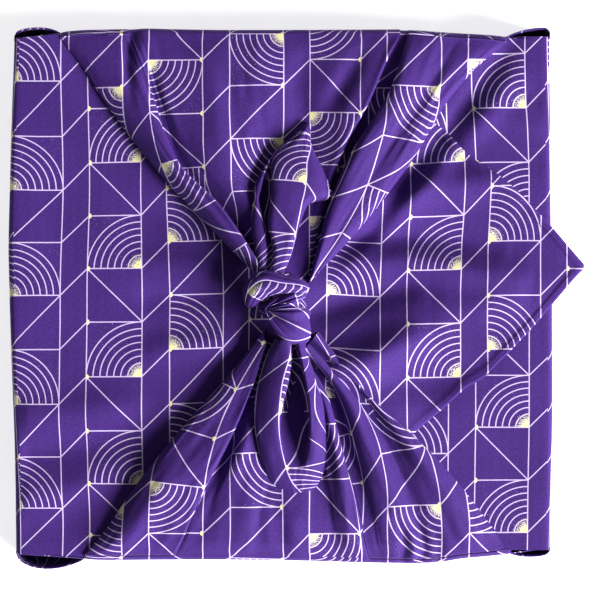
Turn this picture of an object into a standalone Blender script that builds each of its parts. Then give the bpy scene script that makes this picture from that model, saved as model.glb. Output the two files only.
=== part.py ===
"""A furoshiki wrap: one hemmed square of cotton folded and tied round a flat square box.

The cloth lies cornerwise under the box. Its east flap is folded over the top first and its
west flap over that, with the west corner left pointing past the east edge. The north and
south flaps are gathered over both and tied in a square knot, which leaves two leaf-shaped
tails. The box itself is not part of the object, so the parcel is hollow, and each corner
has the open pocket that the folding leaves.

The whole cloth is one solid. Each folded layer is a thick sheet with its own row of folds,
and the sheets are joined only where the cloth really turns from one into the next.

Frame: metres, +Z up, +Y north, origin at the middle of the flat base.
"""

from __future__ import annotations

import math
from typing import NamedTuple, Sequence

import bmesh
import bpy
import numpy as np

MM = 0.001

# Driving dimensions, in millimetres.
HALF_X = 150.0
HALF_Y = 147.0
CLOTH = 1.5
LAYER_GAP = 0.4
EAST_TOP = 28.1
WEST_TOP = EAST_TOP + LAYER_GAP + CLOTH
PLEAT_CLOTH = 1.8
PLEAT_FLOOR = WEST_TOP + LAYER_GAP + PLEAT_CLOTH
PROUD = 0.3
CORNER_CUT = 0.8
EAST_LEAF_FLOOR = 20.0
LIP_WIDTH = 0.30
LIP_CURL = 1.6
CROWN_CURL = 1.2
EVEN_SPACING = 0.3

COLOUR = (0.070, 0.027, 0.262, 1.0)
ROUGHNESS = 0.75


class Row(NamedTuple):
    """One station along an edge: its place along it and its offset from the centre line."""

    along: float
    out: float


class Level(NamedTuple):
    """One level of the wrapped body: its height and how far it draws in."""

    z: float
    draw_in: float


class Side(NamedTuple):
    """One wall seen from above: the axis it runs along, the way it faces, and its ends."""

    runs_along_x: bool
    facing: float
    start: float
    end: float
    face: tuple[Row, ...]


class Turn(NamedTuple):
    """One stop of a flap turning over a wall: distance in from the wall's face, and height."""

    inward: float
    z: float


class Rail(NamedTuple):
    """One fold of a gathered flap, from the wall to the knot.

    Each station is (x, y, relief): the relief is the height above the flat flap.
    """

    wall: tuple[float, float, float]
    outer: tuple[float, float, float]
    middle: tuple[float, float, float]
    inner: tuple[float, float, float]
    throat: tuple[float, float, float]


class Section(NamedTuple):
    """One cross-section of a tail: its left and right edge, and how it stands.

    Columns: left x, left y, right x, right y, bed height, rise of the left lip, rise of
    the right lip and rise of the middle above the bed.
    """

    left_x: float
    left_y: float
    right_x: float
    right_y: float
    bed: float
    left_lip: float
    right_lip: float
    crown: float


class Stop(NamedTuple):
    """One stop of a knot strand: its centre, its half width and its half depth."""

    x: float
    y: float
    z: float
    wide: float
    deep: float


# Outer faces of the four walls, as uneven as cloth on a box, corner to corner.
WEST_WALL = (
    Row(-146.0, 146.9), Row(-110.0, 147.2), Row(-77.0, 147.9), Row(-24.0, 150.0),
    Row(25.0, 151.3), Row(80.0, 150.0), Row(143.0, 147.8),
)
EAST_WALL = (
    Row(-143.0, 149.4), Row(-60.0, 150.8), Row(0.0, 150.5), Row(60.0, 149.8), Row(143.0, 149.0),
)
NORTH_WALL = (
    Row(-147.0, 147.4), Row(-136.0, 148.3), Row(-127.0, 147.6), Row(-118.0, 145.6),
    Row(-81.0, 147.4), Row(-20.0, 146.6), Row(30.0, 146.8), Row(60.0, 147.3),
    Row(98.0, 144.2), Row(122.0, 143.6), Row(133.0, 147.2), Row(148.0, 146.6),
)
SOUTH_WALL = (
    Row(-146.0, 146.0), Row(-140.0, 150.4), Row(-128.0, 152.9), Row(-115.0, 150.0),
    Row(-106.0, 146.9), Row(-40.0, 146.6), Row(0.0, 146.9), Row(80.0, 149.0),
    Row(98.0, 145.2), Row(122.0, 144.6), Row(136.0, 146.4), Row(149.0, 144.5),
)

# The four walls, counterclockwise.
SOUTH = Side(True, -1.0, -146.8, 149.0, SOUTH_WALL)
EAST = Side(False, 1.0, -143.0, 146.2, EAST_WALL)
NORTH = Side(True, 1.0, 148.6, -147.4, NORTH_WALL)
WEST = Side(False, -1.0, 146.4, -145.4, WEST_WALL)

OUTER_LEVELS = (
    Level(0.0, 2.8), Level(0.7, 0.9), Level(2.8, 0.0), Level(14.0, -0.3),
    Level(24.8, 0.0), Level(27.4, 0.9), Level(EAST_TOP, 2.8),
)
# The inside keeps the box's square edges.
INNER_LEVELS = (Level(CLOTH, CLOTH + 0.2), Level(EAST_TOP - CLOTH, CLOTH + 0.2))

# Edge of the west flap on the top: place along X, then its north or south edge.
WEST_FLAP_NORTH = (
    Row(-147.4, 141.6), Row(-122.0, 143.6), Row(-90.0, 144.2), Row(34.0, 144.2),
    Row(92.0, 90.0), Row(100.0, 81.0), Row(112.0, 71.0), Row(119.5, 67.0),
    Row(132.0, 56.4), Row(150.5, 37.0), Row(164.5, 20.6), Row(167.7, 17.2),
)
WEST_FLAP_SOUTH = (
    Row(-147.4, -136.6), Row(-136.0, -136.8), Row(-108.0, -143.8), Row(0.0, -143.8),
    Row(5.0, -143.4),
    Row(74.0, -76.0), Row(91.0, -61.9), Row(102.0, -51.7), Row(111.6, -46.5),
    Row(125.0, -33.0), Row(139.5, -17.7), Row(154.5, 0.0), Row(163.8, 10.8), Row(167.7, 14.4),
)
# How the west flap climbs its wall and turns over the edge.
WEST_TURN = (
    Turn(0.0, 17.0), Turn(0.0, 25.6), Turn(0.8, 28.2), Turn(2.0, 29.5), Turn(4.4, WEST_TOP),
)
WEST_FLAP_STOPS = (
    -140.0, -122.0, -106.0, -75.0, -40.0, 0.0, 34.0, 54.0, 74.0, 92.0, 102.0,
    112.0, 125.0, 139.5, 151.0, 160.0, 165.0, 167.7,
)
TIP_DROOP = 1.6

# The pockets at the four corners, as seen from above: the outline of each slot.
POCKETS = (
    ((-144.6, 141.6), (-144.6, 146.0), (-119.0, 144.2)),
    ((146.6, 140.6), (146.6, 145.0), (124.0, 142.2)),
    ((-144.6, -136.6), (-136.0, -136.8), (-109.0, -144.4), (-128.0, -151.0), (-144.6, -144.4)),
    ((146.6, -138.6), (124.0, -142.2), (146.6, -142.6)),
)
POCKET_FLOOR = 8.0

# What the east flap leaves open under the west flap, beyond its own hemmed edges.
EAST_FLAP_LEAVES = (
    ((-143.2, 139.4), (-143.2, 42.0), (-45.8, 139.4)),
    ((-143.2, -139.4), (-13.8, -139.4), (-143.2, -10.0)),
)

NORTH_RAILS = (
    Rail((-122, 144.8, 0.1), (-97, 105, 0), (-71, 72, 0.4), (-44, 42.5, 1.5), (-11, 7, 6)),
    Rail((-113, 146.2, 1.2), (-89, 108, 3), (-63, 75.5, 4.4), (-38, 46.5, 6.2), (-9.2, 9.6, 10)),
    Rail((-94, 147.4, 1), (-75, 108, 2.6), (-53, 77, 4.2), (-31, 50, 6), (-7.4, 11.4, 9.6)),
    Rail((-80, 147.8, 0.7), (-64, 104, 0.8), (-46, 69, 0.3), (-26, 43, 1.4), (-5.6, 12, 6.4)),
    Rail((-56, 147.2, 0.8), (-43, 108, 1.4), (-29, 76, 2.2), (-15, 47, 3.6), (-3.6, 13.4, 9.4)),
    Rail((-6, 147, 0.5), (-3, 111, 1.2), (-1, 80, 2.2), (0, 50, 4), (-1, 14, 10.4)),
    Rail((42, 147.3, 0.8), (32, 112, 1.4), (22, 83, 2.6), (12, 52, 4.2), (2, 14, 10)),
    Rail((66, 147.4, 0.4), (49, 111.5, 0), (36, 82, 0.2), (20, 50.5, 0.8), (4.2, 13.4, 6)),
    Rail((75, 146.6, 1.8), (58, 109.5, 4.6), (44, 80.5, 6.6), (25.5, 48, 7.8), (6.6, 12.6, 11)),
    Rail((93, 145.2, 1), (73, 104, 2.6), (54, 73, 4.2), (33, 43, 6), (9, 11, 10.6)),
    Rail((111, 144.4, -0.4), (88, 103, 1.4), (66, 71, 3), (39.5, 37, 4.8), (11.2, 9, 9)),
    Rail((124.6, 143.4, -1.5), (97, 108, -0.8), (70, 70, 0.2), (41, 30, 1), (13.4, 6.2, 5)),
)

SOUTH_RAILS = (
    Rail((-108, -146.9, 0.2), (-84, -112, 1.4), (-58, -79, 2.2), (-32, -50, 3.2), (-6, -25, 6)),
    Rail((-99, -147.3, 1.6), (-77, -114, 4.2), (-52.5, -82, 5.6), (-28.5, -53, 6.8), (-4.6, -26.6, 10)),
    Rail((-78, -147, 1), (-61, -115, 3), (-42, -84, 4.4), (-24, -55, 6), (-3, -28, 9.6)),
    Rail((-54, -146.9, 0.6), (-46, -115, 1.8), (-35, -84, 3), (-20.5, -55, 4.8), (-1.4, -29, 9)),
    Rail((-40, -146.8, 0.4), (-34.5, -114, 0.5), (-27, -83.5, 0.2), (-15.5, -55, 0.8), (0.2, -29.6, 5.6)),
    Rail((-12, -147, 0.5), (-10, -116, 1.8), (-7, -87, 2.6), (-4, -58, 3.8), (2.2, -30.4, 9.4)),
    Rail((17, -147.4, -0.2), (15, -117, 1.6), (12, -88, 2.6), (7, -58, 4), (4.6, -30.8, 10)),
    Rail((31, -148, -0.8), (27, -118, 0.1), (21, -88, 0.6), (13, -57, 1.4), (6.6, -31, 6.4)),
    Rail((40, -148.4, 0.6), (36, -117.5, 3.2), (30, -87, 5), (18.5, -56, 6.4), (8.6, -31, 11)),
    Rail((52, -148.6, -0.6), (46.5, -116.5, 0.6), (38, -85.5, 1.2), (23, -55, 1.8), (10.6, -30.8, 6.8)),
    Rail((67, -149, 0.6), (58, -114, 2.8), (46, -82, 4.4), (28, -53, 5.8), (12.6, -30.2, 10.6)),
    Rail((80, -149.2, -0.8), (68.5, -112, 0.4), (54, -80, 1), (33, -51.5, 1.8), (14.6, -29.2, 6.6)),
    Rail((96, -146.2, -0.2), (80, -110, 2.2), (62, -77.5, 3.8), (38.5, -50.5, 5), (16.6, -28, 10)),
    Rail((114, -145, -0.8), (91, -108.5, 1.4), (69, -77.5, 2.8), (43, -51.5, 4.4), (18.4, -26.6, 8.6)),
    Rail((126.4, -144, -1.6), (99, -107, -0.9), (75, -80, 0.2), (46, -55, 1.2), (20.4, -25, 5)),
)
# How a gathered flap climbs its wall and turns over the edge.
GATHER_TURN = (Turn(0.0, 16.0), Turn(0.0, 25.0), Turn(0.5, 29.4))
GATHER_EDGE_IN = 2.6

UPPER_TAIL = (
    Section(-14.0, 12.0, 4.0, 12.0, 42.0, 3.0, 1.0, 5.0),
    Section(-14.2, 26.0, 7.0, 25.0, 41.0, 4.6, 1.0, 6.4),
    Section(-15.6, 40.0, 12.0, 38.0, 39.6, 5.2, 0.8, 5.6),
    Section(-14.4, 57.0, 25.6, 54.0, 38.4, 4.8, 0.6, 4.6),
    Section(-8.0, 72.0, 29.6, 69.0, 37.4, 3.6, 0.8, 4.0),
    Section(0.6, 82.4, 30.0, 81.0, 36.6, 2.2, 1.0, 3.2),
    Section(12.0, 93.4, 19.4, 93.8, 36.0, 0.8, 0.8, 1.4),
)
LOWER_TAIL = (
    Section(-3.0, -26.0, 14.0, -26.0, 42.6, 4.6, 4.0, 0.2),
    Section(-10.4, -43.0, 16.0, -42.0, 40.2, 6.4, 5.6, -0.2),
    Section(-14.4, -59.0, 21.4, -57.0, 38.6, 7.0, 6.2, -0.2),
    Section(-16.0, -72.0, 24.2, -73.0, 37.8, 5.8, 5.6, 0.4),
    Section(-12.0, -87.0, 25.0, -86.0, 37.0, 3.8, 4.0, 1.2),
    Section(-6.6, -101.0, 22.8, -99.6, 36.2, 1.8, 1.8, 1.4),
    Section(1.0, -111.6, 20.0, -105.6, 35.4, 0.4, 0.4, 0.6),
)

# The square knot: the neck of each flap, the core that they cross in, the band that lies
# over its north side from a rounded left end, and the fanned lobe pinched in on its left.
KNOT = {
    "north_neck": (
        Stop(1.0, 20.0, 38.6, 10.0, 4.4), Stop(2.0, 11.0, 41.0, 8.4, 5.0),
        Stop(3.0, 0.0, 43.0, 7.0, 5.4),
    ),
    "south_neck": (
        Stop(7.0, -37.0, 38.0, 11.6, 4.4), Stop(5.6, -28.0, 40.0, 9.6, 5.0),
        Stop(3.6, -14.0, 42.0, 8.0, 5.4),
    ),
    "core": (
        Stop(-11.0, -5.0, 41.0, 5.0, 5.0), Stop(-2.0, -6.0, 43.0, 8.6, 6.4),
        Stop(7.0, -9.0, 43.0, 10.0, 6.4), Stop(13.6, -11.0, 42.0, 7.0, 5.0),
    ),
    "upper_band": (
        Stop(-16.0, -3.4, 42.6, 4.4, 5.0), Stop(-13.8, 1.6, 45.4, 7.0, 6.2),
        Stop(-8.0, 5.6, 47.6, 8.2, 5.8), Stop(1.0, 5.0, 48.4, 6.0, 5.0),
        Stop(9.6, 4.4, 47.2, 4.0, 4.4), Stop(13.6, 3.4, 44.8, 2.8, 3.6),
    ),
    "front_lobe": (
        Stop(-9.0, -8.4, 46.0, 2.8, 3.8), Stop(-3.4, -9.6, 49.4, 6.4, 4.8),
        Stop(3.6, -11.8, 50.8, 10.4, 5.4), Stop(10.0, -14.2, 49.4, 12.0, 5.4),
        Stop(14.6, -16.0, 46.0, 9.0, 4.2),
    ),
}

WALL_POINTS = 14
ACROSS_A_FOLD = 3
GATHER_STOPS = 9
WEST_FLAP_ACROSS = 11
TAIL_ACROSS = 11
TAIL_STOPS = 11
STRAND_SIDES = 10
STRAND_STOPS = 7


# ---------------------------------------------------------------- curves


def smooth_at(rows: np.ndarray, place: float) -> np.ndarray:
    """Read a smooth curve through evenly spaced rows.

    Args:
        rows: one row of numbers for each point of the curve.
        place: where to read it, from 0 at the first row to 1 at the last.

    Returns:
        The interpolated row (Catmull-Rom).
    """
    last = len(rows) - 1
    position = min(max(place, 0.0), 1.0) * last
    start = min(int(position), last - 1)
    t = position - start
    before = rows[max(start - 1, 0)]
    here, after = rows[start], rows[start + 1]
    beyond = rows[min(start + 2, last)]
    return 0.5 * (
        2.0 * here
        + (after - before) * t
        + (2.0 * before - 5.0 * here + 4.0 * after - beyond) * t**2
        + (3.0 * here - before - 3.0 * after + beyond) * t**3
    )


def offset_at(rows: Sequence[Row], along: float) -> float:
    """Read a table of rows between its stations, with straight runs."""
    return float(np.interp(along, [row.along for row in rows], [row.out for row in rows]))


def wall_point(side: Side, t: float) -> tuple[float, float]:
    """Point on one wall's outer face, t from 0 to 1 counterclockwise, with round corners."""
    eased = 0.5 - 0.5 * math.cos(math.pi * t)
    spaced = EVEN_SPACING * t + (1.0 - EVEN_SPACING) * eased
    run = side.start + (side.end - side.start) * spaced
    rounding = CORNER_CUT * max(0.0, 1.0 - WALL_POINTS * min(t, 1.0 - t))
    out = side.facing * (offset_at(side.face, run) - rounding)
    return (run, out) if side.runs_along_x else (out, run)


def body_outline() -> list[tuple[float, float]]:
    """Outline of the walls' outer faces, counterclockwise from the south-west corner."""
    steps = [step / WALL_POINTS for step in range(WALL_POINTS)]
    return [wall_point(side, t) for side in (SOUTH, EAST, NORTH, WEST) for t in steps]


# ---------------------------------------------------------------- meshes


def new_piece(name: str, points: np.ndarray, faces: list[tuple[int, ...]]) -> bpy.types.Object:
    """Make an object from points in millimetres, with its faces turned outward."""
    mesh = bpy.data.meshes.new(name)
    mesh.from_pydata([tuple(point * MM) for point in points], [], faces)
    shape = bmesh.new()
    shape.from_mesh(mesh)
    bmesh.ops.triangulate(shape, faces=shape.faces)
    bmesh.ops.recalc_face_normals(shape, faces=shape.faces)
    shape.to_mesh(mesh)
    shape.free()
    piece = bpy.data.objects.new(name, mesh)
    bpy.context.collection.objects.link(piece)
    return piece


def layered_body(name: str, rings: list[list[tuple[float, float, float]]]) -> bpy.types.Object:
    """Closed body through a stack of rings, capped at the bottom and the top."""
    count = len(rings[0])
    points = np.array([point for ring in rings for point in ring])
    faces: list[tuple[int, ...]] = []
    for level in range(len(rings) - 1):
        for step in range(count):
            after = (step + 1) % count
            low, high = level * count, (level + 1) * count
            faces.append((low + step, low + after, high + after, high + step))
    faces.append(tuple(reversed(range(count))))
    top = (len(rings) - 1) * count
    faces.append(tuple(range(top, top + count)))
    return new_piece(name, points, faces)


def thick_sheet(name: str, outer: np.ndarray, inner: np.ndarray) -> bpy.types.Object:
    """Closed sheet between two grids of points of the same size."""
    rows, columns = outer.shape[:2]
    points = np.concatenate([outer.reshape(-1, 3), inner.reshape(-1, 3)])
    under = rows * columns
    faces: list[tuple[int, ...]] = []
    for row in range(rows - 1):
        for column in range(columns - 1):
            corner = row * columns + column
            quad = (corner, corner + 1, corner + columns + 1, corner + columns)
            faces.append(quad)
            faces.append(tuple(under + index for index in reversed(quad)))
    rim = [column for column in range(columns)]
    rim += [row * columns + columns - 1 for row in range(1, rows)]
    rim += [(rows - 1) * columns + column for column in range(columns - 2, -1, -1)]
    rim += [row * columns for row in range(rows - 2, 0, -1)]
    for here, after in zip(rim, rim[1:] + rim[:1]):
        faces.append((here, under + here, under + after, after))
    return new_piece(name, points, faces)


def prism(
    name: str, plans: Sequence[Sequence[tuple[float, float]]], low: float, high: float
) -> bpy.types.Object:
    """Upright prisms over the given plan outlines, as one cutter."""
    points: list[tuple[float, float, float]] = []
    faces: list[tuple[int, ...]] = []
    for plan in plans:
        count, first = len(plan), len(points)
        points += [(x, y, low) for x, y in plan] + [(x, y, high) for x, y in plan]
        faces.append(tuple(range(first, first + count)))
        faces.append(tuple(range(first + count, first + 2 * count)))
        for step in range(count):
            after = (step + 1) % count
            faces.append((first + step, first + after, first + count + after, first + count + step))
    return new_piece(name, np.array(points), faces)


# ---------------------------------------------------------------- layers of the cloth


def body_rings(levels: Sequence[Level]) -> list[list[tuple[float, float, float]]]:
    """Rings of the wrapped body, drawn in towards its middle at each level."""
    outline = body_outline()
    rings = []
    for level in levels:
        narrow_x = 1.0 - level.draw_in / HALF_X
        narrow_y = 1.0 - level.draw_in / HALF_Y
        rings.append([(x * narrow_x, y * narrow_y, level.z) for x, y in outline])
    return rings


def west_flap() -> bpy.types.Object:
    """West flap: up its wall, over the top edge and across to its overhanging tip."""
    outer, inner = [], []
    for turn in WEST_TURN:
        spread = np.linspace(WEST_FLAP_SOUTH[0].out, WEST_FLAP_NORTH[0].out, WEST_FLAP_ACROSS)
        turned = turn.inward / WEST_TURN[-1].inward
        row, back = [], []
        for y in spread:
            face = -offset_at(WEST_WALL, y) - PROUD + turn.inward
            row.append((face, y, turn.z))
            inward = CLOTH * math.cos(turned * math.pi / 2.0)
            down = CLOTH * math.sin(turned * math.pi / 2.0)
            back.append((face + inward, y, turn.z - down))
        outer.append(row)
        inner.append(back)
    for x in WEST_FLAP_STOPS:
        low, high = offset_at(WEST_FLAP_SOUTH, x), offset_at(WEST_FLAP_NORTH, x)
        droop = TIP_DROOP * max(0.0, (x - HALF_X) / (WEST_FLAP_NORTH[-1].along - HALF_X)) ** 1.5
        row = [(x, y, WEST_TOP - droop) for y in np.linspace(low, high, WEST_FLAP_ACROSS)]
        outer.append(row)
        inner.append([(x, y, z - CLOTH) for x, y, z in row])
    return thick_sheet("west_flap", np.array(outer), np.array(inner))


def gathered_flap(name: str, rails: Sequence[Rail], side: float) -> bpy.types.Object:
    """A gathered flap: hangs on its wall, turns over the edge and runs in pleats to the knot.

    Args:
        name: the sheet's name.
        rails: its folds, from west to east.
        side: 1 for the north flap and -1 for the south flap.
    """
    table = np.array(rails, dtype=float)
    table[:, :, 2] += PLEAT_FLOOR
    across = np.linspace(0.0, 1.0, (len(rails) - 1) * ACROSS_A_FOLD + 1)
    outer, inner = [], []
    for turn in GATHER_TURN:
        foot = [smooth_at(table[:, 0], place) for place in across]
        row = [(x, y + side * (PROUD - turn.inward), turn.z) for x, y, _ in foot]
        outer.append(row)
        down = PLEAT_CLOTH * turn.inward
        inner.append([(x, y - side * PLEAT_CLOTH, z - down) for x, y, z in row])
    for station in np.linspace(0.0, 1.0, GATHER_STOPS):
        section = np.array([smooth_at(rail, station) for rail in table])
        edge_in = side * GATHER_EDGE_IN * max(0.0, 1.0 - station * (GATHER_STOPS - 1))
        row = [smooth_at(section, place) - (0.0, edge_in, 0.0) for place in across]
        outer.append(row)
        inner.append([point - (0.0, 0.0, PLEAT_CLOTH) for point in row])
    return thick_sheet(name, np.array(outer), np.array(inner))


def tail(name: str, sections: Sequence[Section]) -> bpy.types.Object:
    """A free tail: a leaf of cloth whose edges curl up as its sections say."""
    table = np.array(sections, dtype=float)
    outer = []
    for station in np.linspace(0.0, 1.0, TAIL_STOPS):
        section = Section(*smooth_at(table, station))
        row = []
        for across in np.linspace(0.0, 1.0, TAIL_ACROSS):
            x = section.left_x + (section.right_x - section.left_x) * across
            y = section.left_y + (section.right_y - section.left_y) * across
            left = section.left_lip * max(0.0, 1.0 - across / LIP_WIDTH) ** LIP_CURL
            right = section.right_lip * max(0.0, 1.0 - (1.0 - across) / LIP_WIDTH) ** LIP_CURL
            crown = section.crown * math.sin(math.pi * across) ** CROWN_CURL
            row.append((x, y, section.bed + left + right + crown))
        outer.append(row)
    top = np.array(outer)
    return thick_sheet(name, top, top - np.array((0.0, 0.0, CLOTH)))


def strand(name: str, stops: Sequence[Stop]) -> bpy.types.Object:
    """One strand of the knot: an oval bundle of cloth swept along its stops."""
    table = np.array(stops, dtype=float)
    path = np.array([smooth_at(table, t) for t in np.linspace(0.0, 1.0, STRAND_STOPS)])
    heading = np.gradient(path[:, :3], axis=0)
    heading /= np.linalg.norm(heading, axis=1)[:, None]
    side = np.cross(heading[0], (0.0, 0.0, 1.0))
    rings = []
    for centre, direction in zip(path, heading):
        side = side - direction * np.dot(side, direction)
        side /= np.linalg.norm(side)
        lift = np.cross(side, direction)
        ring = []
        for step in range(STRAND_SIDES):
            turn = 2.0 * math.pi * step / STRAND_SIDES
            point = centre[:3] + side * centre[3] * math.cos(turn) + lift * centre[4] * math.sin(turn)
            ring.append(tuple(point))
        rings.append(ring)
    return layered_body(name, rings)


# ---------------------------------------------------------------- assembly


def cotton() -> bpy.types.Material:
    """Plain dyed cotton."""
    material = bpy.data.materials.new("cotton")
    material.use_nodes = True
    shader = material.node_tree.nodes["Principled BSDF"]
    shader.inputs["Base Color"].default_value = COLOUR
    shader.inputs["Roughness"].default_value = ROUGHNESS
    shader.inputs["Metallic"].default_value = 0.0
    return material


def combine(target: bpy.types.Object, tool: bpy.types.Object, operation: str) -> None:
    """Add a Boolean of a guide piece to the target, and hide the guide."""
    modifier = target.modifiers.new(tool.name, "BOOLEAN")
    modifier.operation = operation
    modifier.solver = "EXACT"
    modifier.object = tool
    tool.hide_render = True
    tool.display_type = "WIRE"


def furoshiki() -> bpy.types.Object:
    """The whole cloth, as one solid."""
    cloth = layered_body("furoshiki_cloth", body_rings(OUTER_LEVELS))
    cloth.data.materials.append(cotton())
    combine(cloth, layered_body("box_space", body_rings(INNER_LEVELS)), "DIFFERENCE")
    combine(cloth, prism("pockets", POCKETS, POCKET_FLOOR, PLEAT_FLOOR), "DIFFERENCE")
    leaves = prism("east_flap_leaves", EAST_FLAP_LEAVES, EAST_LEAF_FLOOR, PLEAT_FLOOR)
    combine(cloth, leaves, "DIFFERENCE")
    combine(cloth, west_flap(), "UNION")
    combine(cloth, gathered_flap("north_flap", NORTH_RAILS, 1.0), "UNION")
    combine(cloth, gathered_flap("south_flap", SOUTH_RAILS, -1.0), "UNION")
    for name, stops in KNOT.items():
        combine(cloth, strand(name, stops), "UNION")
    combine(cloth, tail("upper_tail", UPPER_TAIL), "UNION")
    combine(cloth, tail("lower_tail", LOWER_TAIL), "UNION")
    return cloth


def main() -> None:
    """Clear the scene and model the wrap."""
    for leftover in list(bpy.data.objects):
        bpy.data.objects.remove(leftover, do_unlink=True)
    furoshiki()


if __name__ == "__main__":
    main()
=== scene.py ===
"""A cotton furoshiki tied round a flat square parcel.

One hemmed square of printed cotton lies cornerwise under the parcel. Its east corner is
folded over the top, its west corner over that with the tip left past the east edge, and
the north and south corners are gathered over both and tied in a square knot. The whole
cloth is one thin sheet, modelled fold by fold.

All tables are in millimetres in the frame of the CAD: +Z up, +Y north, origin at the
middle of the base.
"""

from __future__ import annotations

import logging
import math
from dataclasses import dataclass, field
from enum import Enum
from typing import Any, NamedTuple, Sequence

import bmesh
import bpy
import numpy as np
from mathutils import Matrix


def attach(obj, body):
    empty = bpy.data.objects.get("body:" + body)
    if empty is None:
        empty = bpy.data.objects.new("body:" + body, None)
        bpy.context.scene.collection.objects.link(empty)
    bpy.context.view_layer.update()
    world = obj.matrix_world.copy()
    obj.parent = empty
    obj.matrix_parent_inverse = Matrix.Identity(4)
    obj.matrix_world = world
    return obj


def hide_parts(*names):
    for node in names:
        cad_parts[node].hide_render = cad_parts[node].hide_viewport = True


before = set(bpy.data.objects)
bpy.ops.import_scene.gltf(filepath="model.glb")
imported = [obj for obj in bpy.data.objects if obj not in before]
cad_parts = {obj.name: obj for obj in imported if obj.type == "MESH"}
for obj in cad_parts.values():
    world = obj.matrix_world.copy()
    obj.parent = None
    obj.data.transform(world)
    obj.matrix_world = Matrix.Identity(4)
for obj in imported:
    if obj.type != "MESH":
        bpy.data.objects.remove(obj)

Plan = tuple[float, float]
Point = tuple[float, float, float]

LOG = logging.getLogger("furoshiki")
MM = 0.001
UP: Point = (0.0, 0.0, 1.0)
WHITE = (1.0, 1.0, 1.0, 1.0)
NODE = "furoshiki_cloth"

PARCEL_SIDE = 300.0
EAST_TOP = 28.1
WEST_TOP = 30.0
WALL_HEIGHT = 29.0
BASE_Y = 147.0


# ---------------------------------------------------------------- curves and fields


def bspline(rows: np.ndarray, places: np.ndarray) -> np.ndarray:
    """Read a uniform cubic B-spline that starts and ends on its end rows.

    Args:
        rows: control rows, of any shape after the first axis.
        places: where to read it, from 0 to 1.

    Returns:
        One row for each place.
    """
    padded = np.concatenate([rows[:1], rows[:1], rows, rows[-1:], rows[-1:]])
    spans = len(padded) - 3
    position = np.clip(places, 0.0, 1.0) * spans
    first = np.minimum(position.astype(int), spans - 1)
    t = (position - first).reshape((-1,) + (1,) * (rows.ndim - 1))
    weights = (
        (1.0 - t) ** 3 / 6.0,
        (3.0 * t**3 - 6.0 * t**2 + 4.0) / 6.0,
        (-3.0 * t**3 + 3.0 * t**2 + 3.0 * t + 1.0) / 6.0,
        t**3 / 6.0,
    )
    return sum(weight * padded[first + step] for step, weight in enumerate(weights))


def through(rows: np.ndarray, places: np.ndarray) -> np.ndarray:
    """Read a smooth curve that passes through all its rows (Catmull-Rom).

    Args:
        rows: evenly spaced rows, of any shape after the first axis.
        places: where to read it, from 0 to 1.

    Returns:
        One row for each place.
    """
    last = len(rows) - 1
    position = np.clip(places, 0.0, 1.0) * last
    start = np.minimum(position.astype(int), last - 1)
    t = (position - start).reshape((-1,) + (1,) * (rows.ndim - 1))
    before, here = rows[np.maximum(start - 1, 0)], rows[start]
    after, beyond = rows[start + 1], rows[np.minimum(start + 2, last)]
    return 0.5 * (
        2.0 * here
        + (after - before) * t
        + (2.0 * before - 5.0 * here + 4.0 * after - beyond) * t**2
        + (3.0 * here - before - 3.0 * after + beyond) * t**3
    )


def crisp(rows: np.ndarray, places: np.ndarray, crispness: float) -> np.ndarray:
    """Read a curve between the eased one and the one through its rows.

    Args:
        rows: control rows, of any shape after the first axis.
        places: where to read it, from 0 to 1.
        crispness: 0 for the eased curve, 1 for the one through the rows.

    Returns:
        One row for each place.
    """
    return (1.0 - crispness) * bspline(rows, places) + crispness * through(rows, places)


def along_table(table: Sequence[Plan], places: np.ndarray, ease: float) -> np.ndarray:
    """Read a table of (place, value) with its corners eased.

    Args:
        table: rows in the order of their places.
        places: where to read it.
        ease: how far each corner is eased to both sides.

    Returns:
        One value for each place.
    """
    xs, ys = [row[0] for row in table], [row[1] for row in table]
    shifts = np.linspace(-ease, ease, 5)
    return sum(np.interp(places + shift, xs, ys) for shift in shifts) / len(shifts)


def eased(t: np.ndarray) -> np.ndarray:
    """Smooth step of shares from 0 to 1."""
    return t * t * (3.0 - 2.0 * t)


def ramp(values: np.ndarray, start: float, end: float) -> np.ndarray:
    """Smooth step from 0 at start to 1 at end."""
    return eased(np.clip((values - start) / (end - start), 0.0, 1.0))


def drift(u: np.ndarray, v: np.ndarray, seed: int) -> np.ndarray:
    """Smooth field of random bumps, one bump per unit of u and v.

    Args:
        u: first coordinate.
        v: second coordinate.
        seed: number of the field, so that no two are alike.

    Returns:
        Heights from -1 to 1.
    """

    def corner(i: np.ndarray, j: np.ndarray) -> np.ndarray:
        """Scattered height of a whole-numbered corner, by the usual sine hash."""
        mixed = np.sin(i * 127.1 + j * 311.7 + seed * 74.7) * 43758.5453
        return 2.0 * (mixed - np.floor(mixed)) - 1.0

    i, j = np.floor(u), np.floor(v)
    s, t = eased(u - i), eased(v - j)
    low = corner(i, j) * (1.0 - s) + corner(i + 1, j) * s
    high = corner(i, j + 1) * (1.0 - s) + corner(i + 1, j + 1) * s
    return low * (1.0 - t) + high * t


class Wave(NamedTuple):
    """Soft waves of slack cloth: height, length each way, field number and shift."""

    height: float
    length: Plan
    seed: int
    shift: Plan = (0.0, 0.0)


def rippled(
    z: np.ndarray, x: np.ndarray, y: np.ndarray, strength: np.ndarray, waves: Sequence[Wave]
) -> np.ndarray:
    """Add soft waves to heights.

    Args:
        z: heights.
        x: places east.
        y: places north.
        strength: how much of the waves each place gets.
        waves: the waves, from long to short.

    Returns:
        The new heights.
    """
    for wave in waves:
        u = x / wave.length[0] + wave.shift[0]
        v = y / wave.length[1] + wave.shift[1]
        z = z + wave.height * strength * drift(u, v, wave.seed)
    return z


def arc_length(points: np.ndarray) -> np.ndarray:
    """Distance of each point of a line from its first point."""
    return np.concatenate([[0.0], np.cumsum(np.linalg.norm(np.diff(points, axis=0), axis=1))])


# ---------------------------------------------------------------- the sheet


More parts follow.
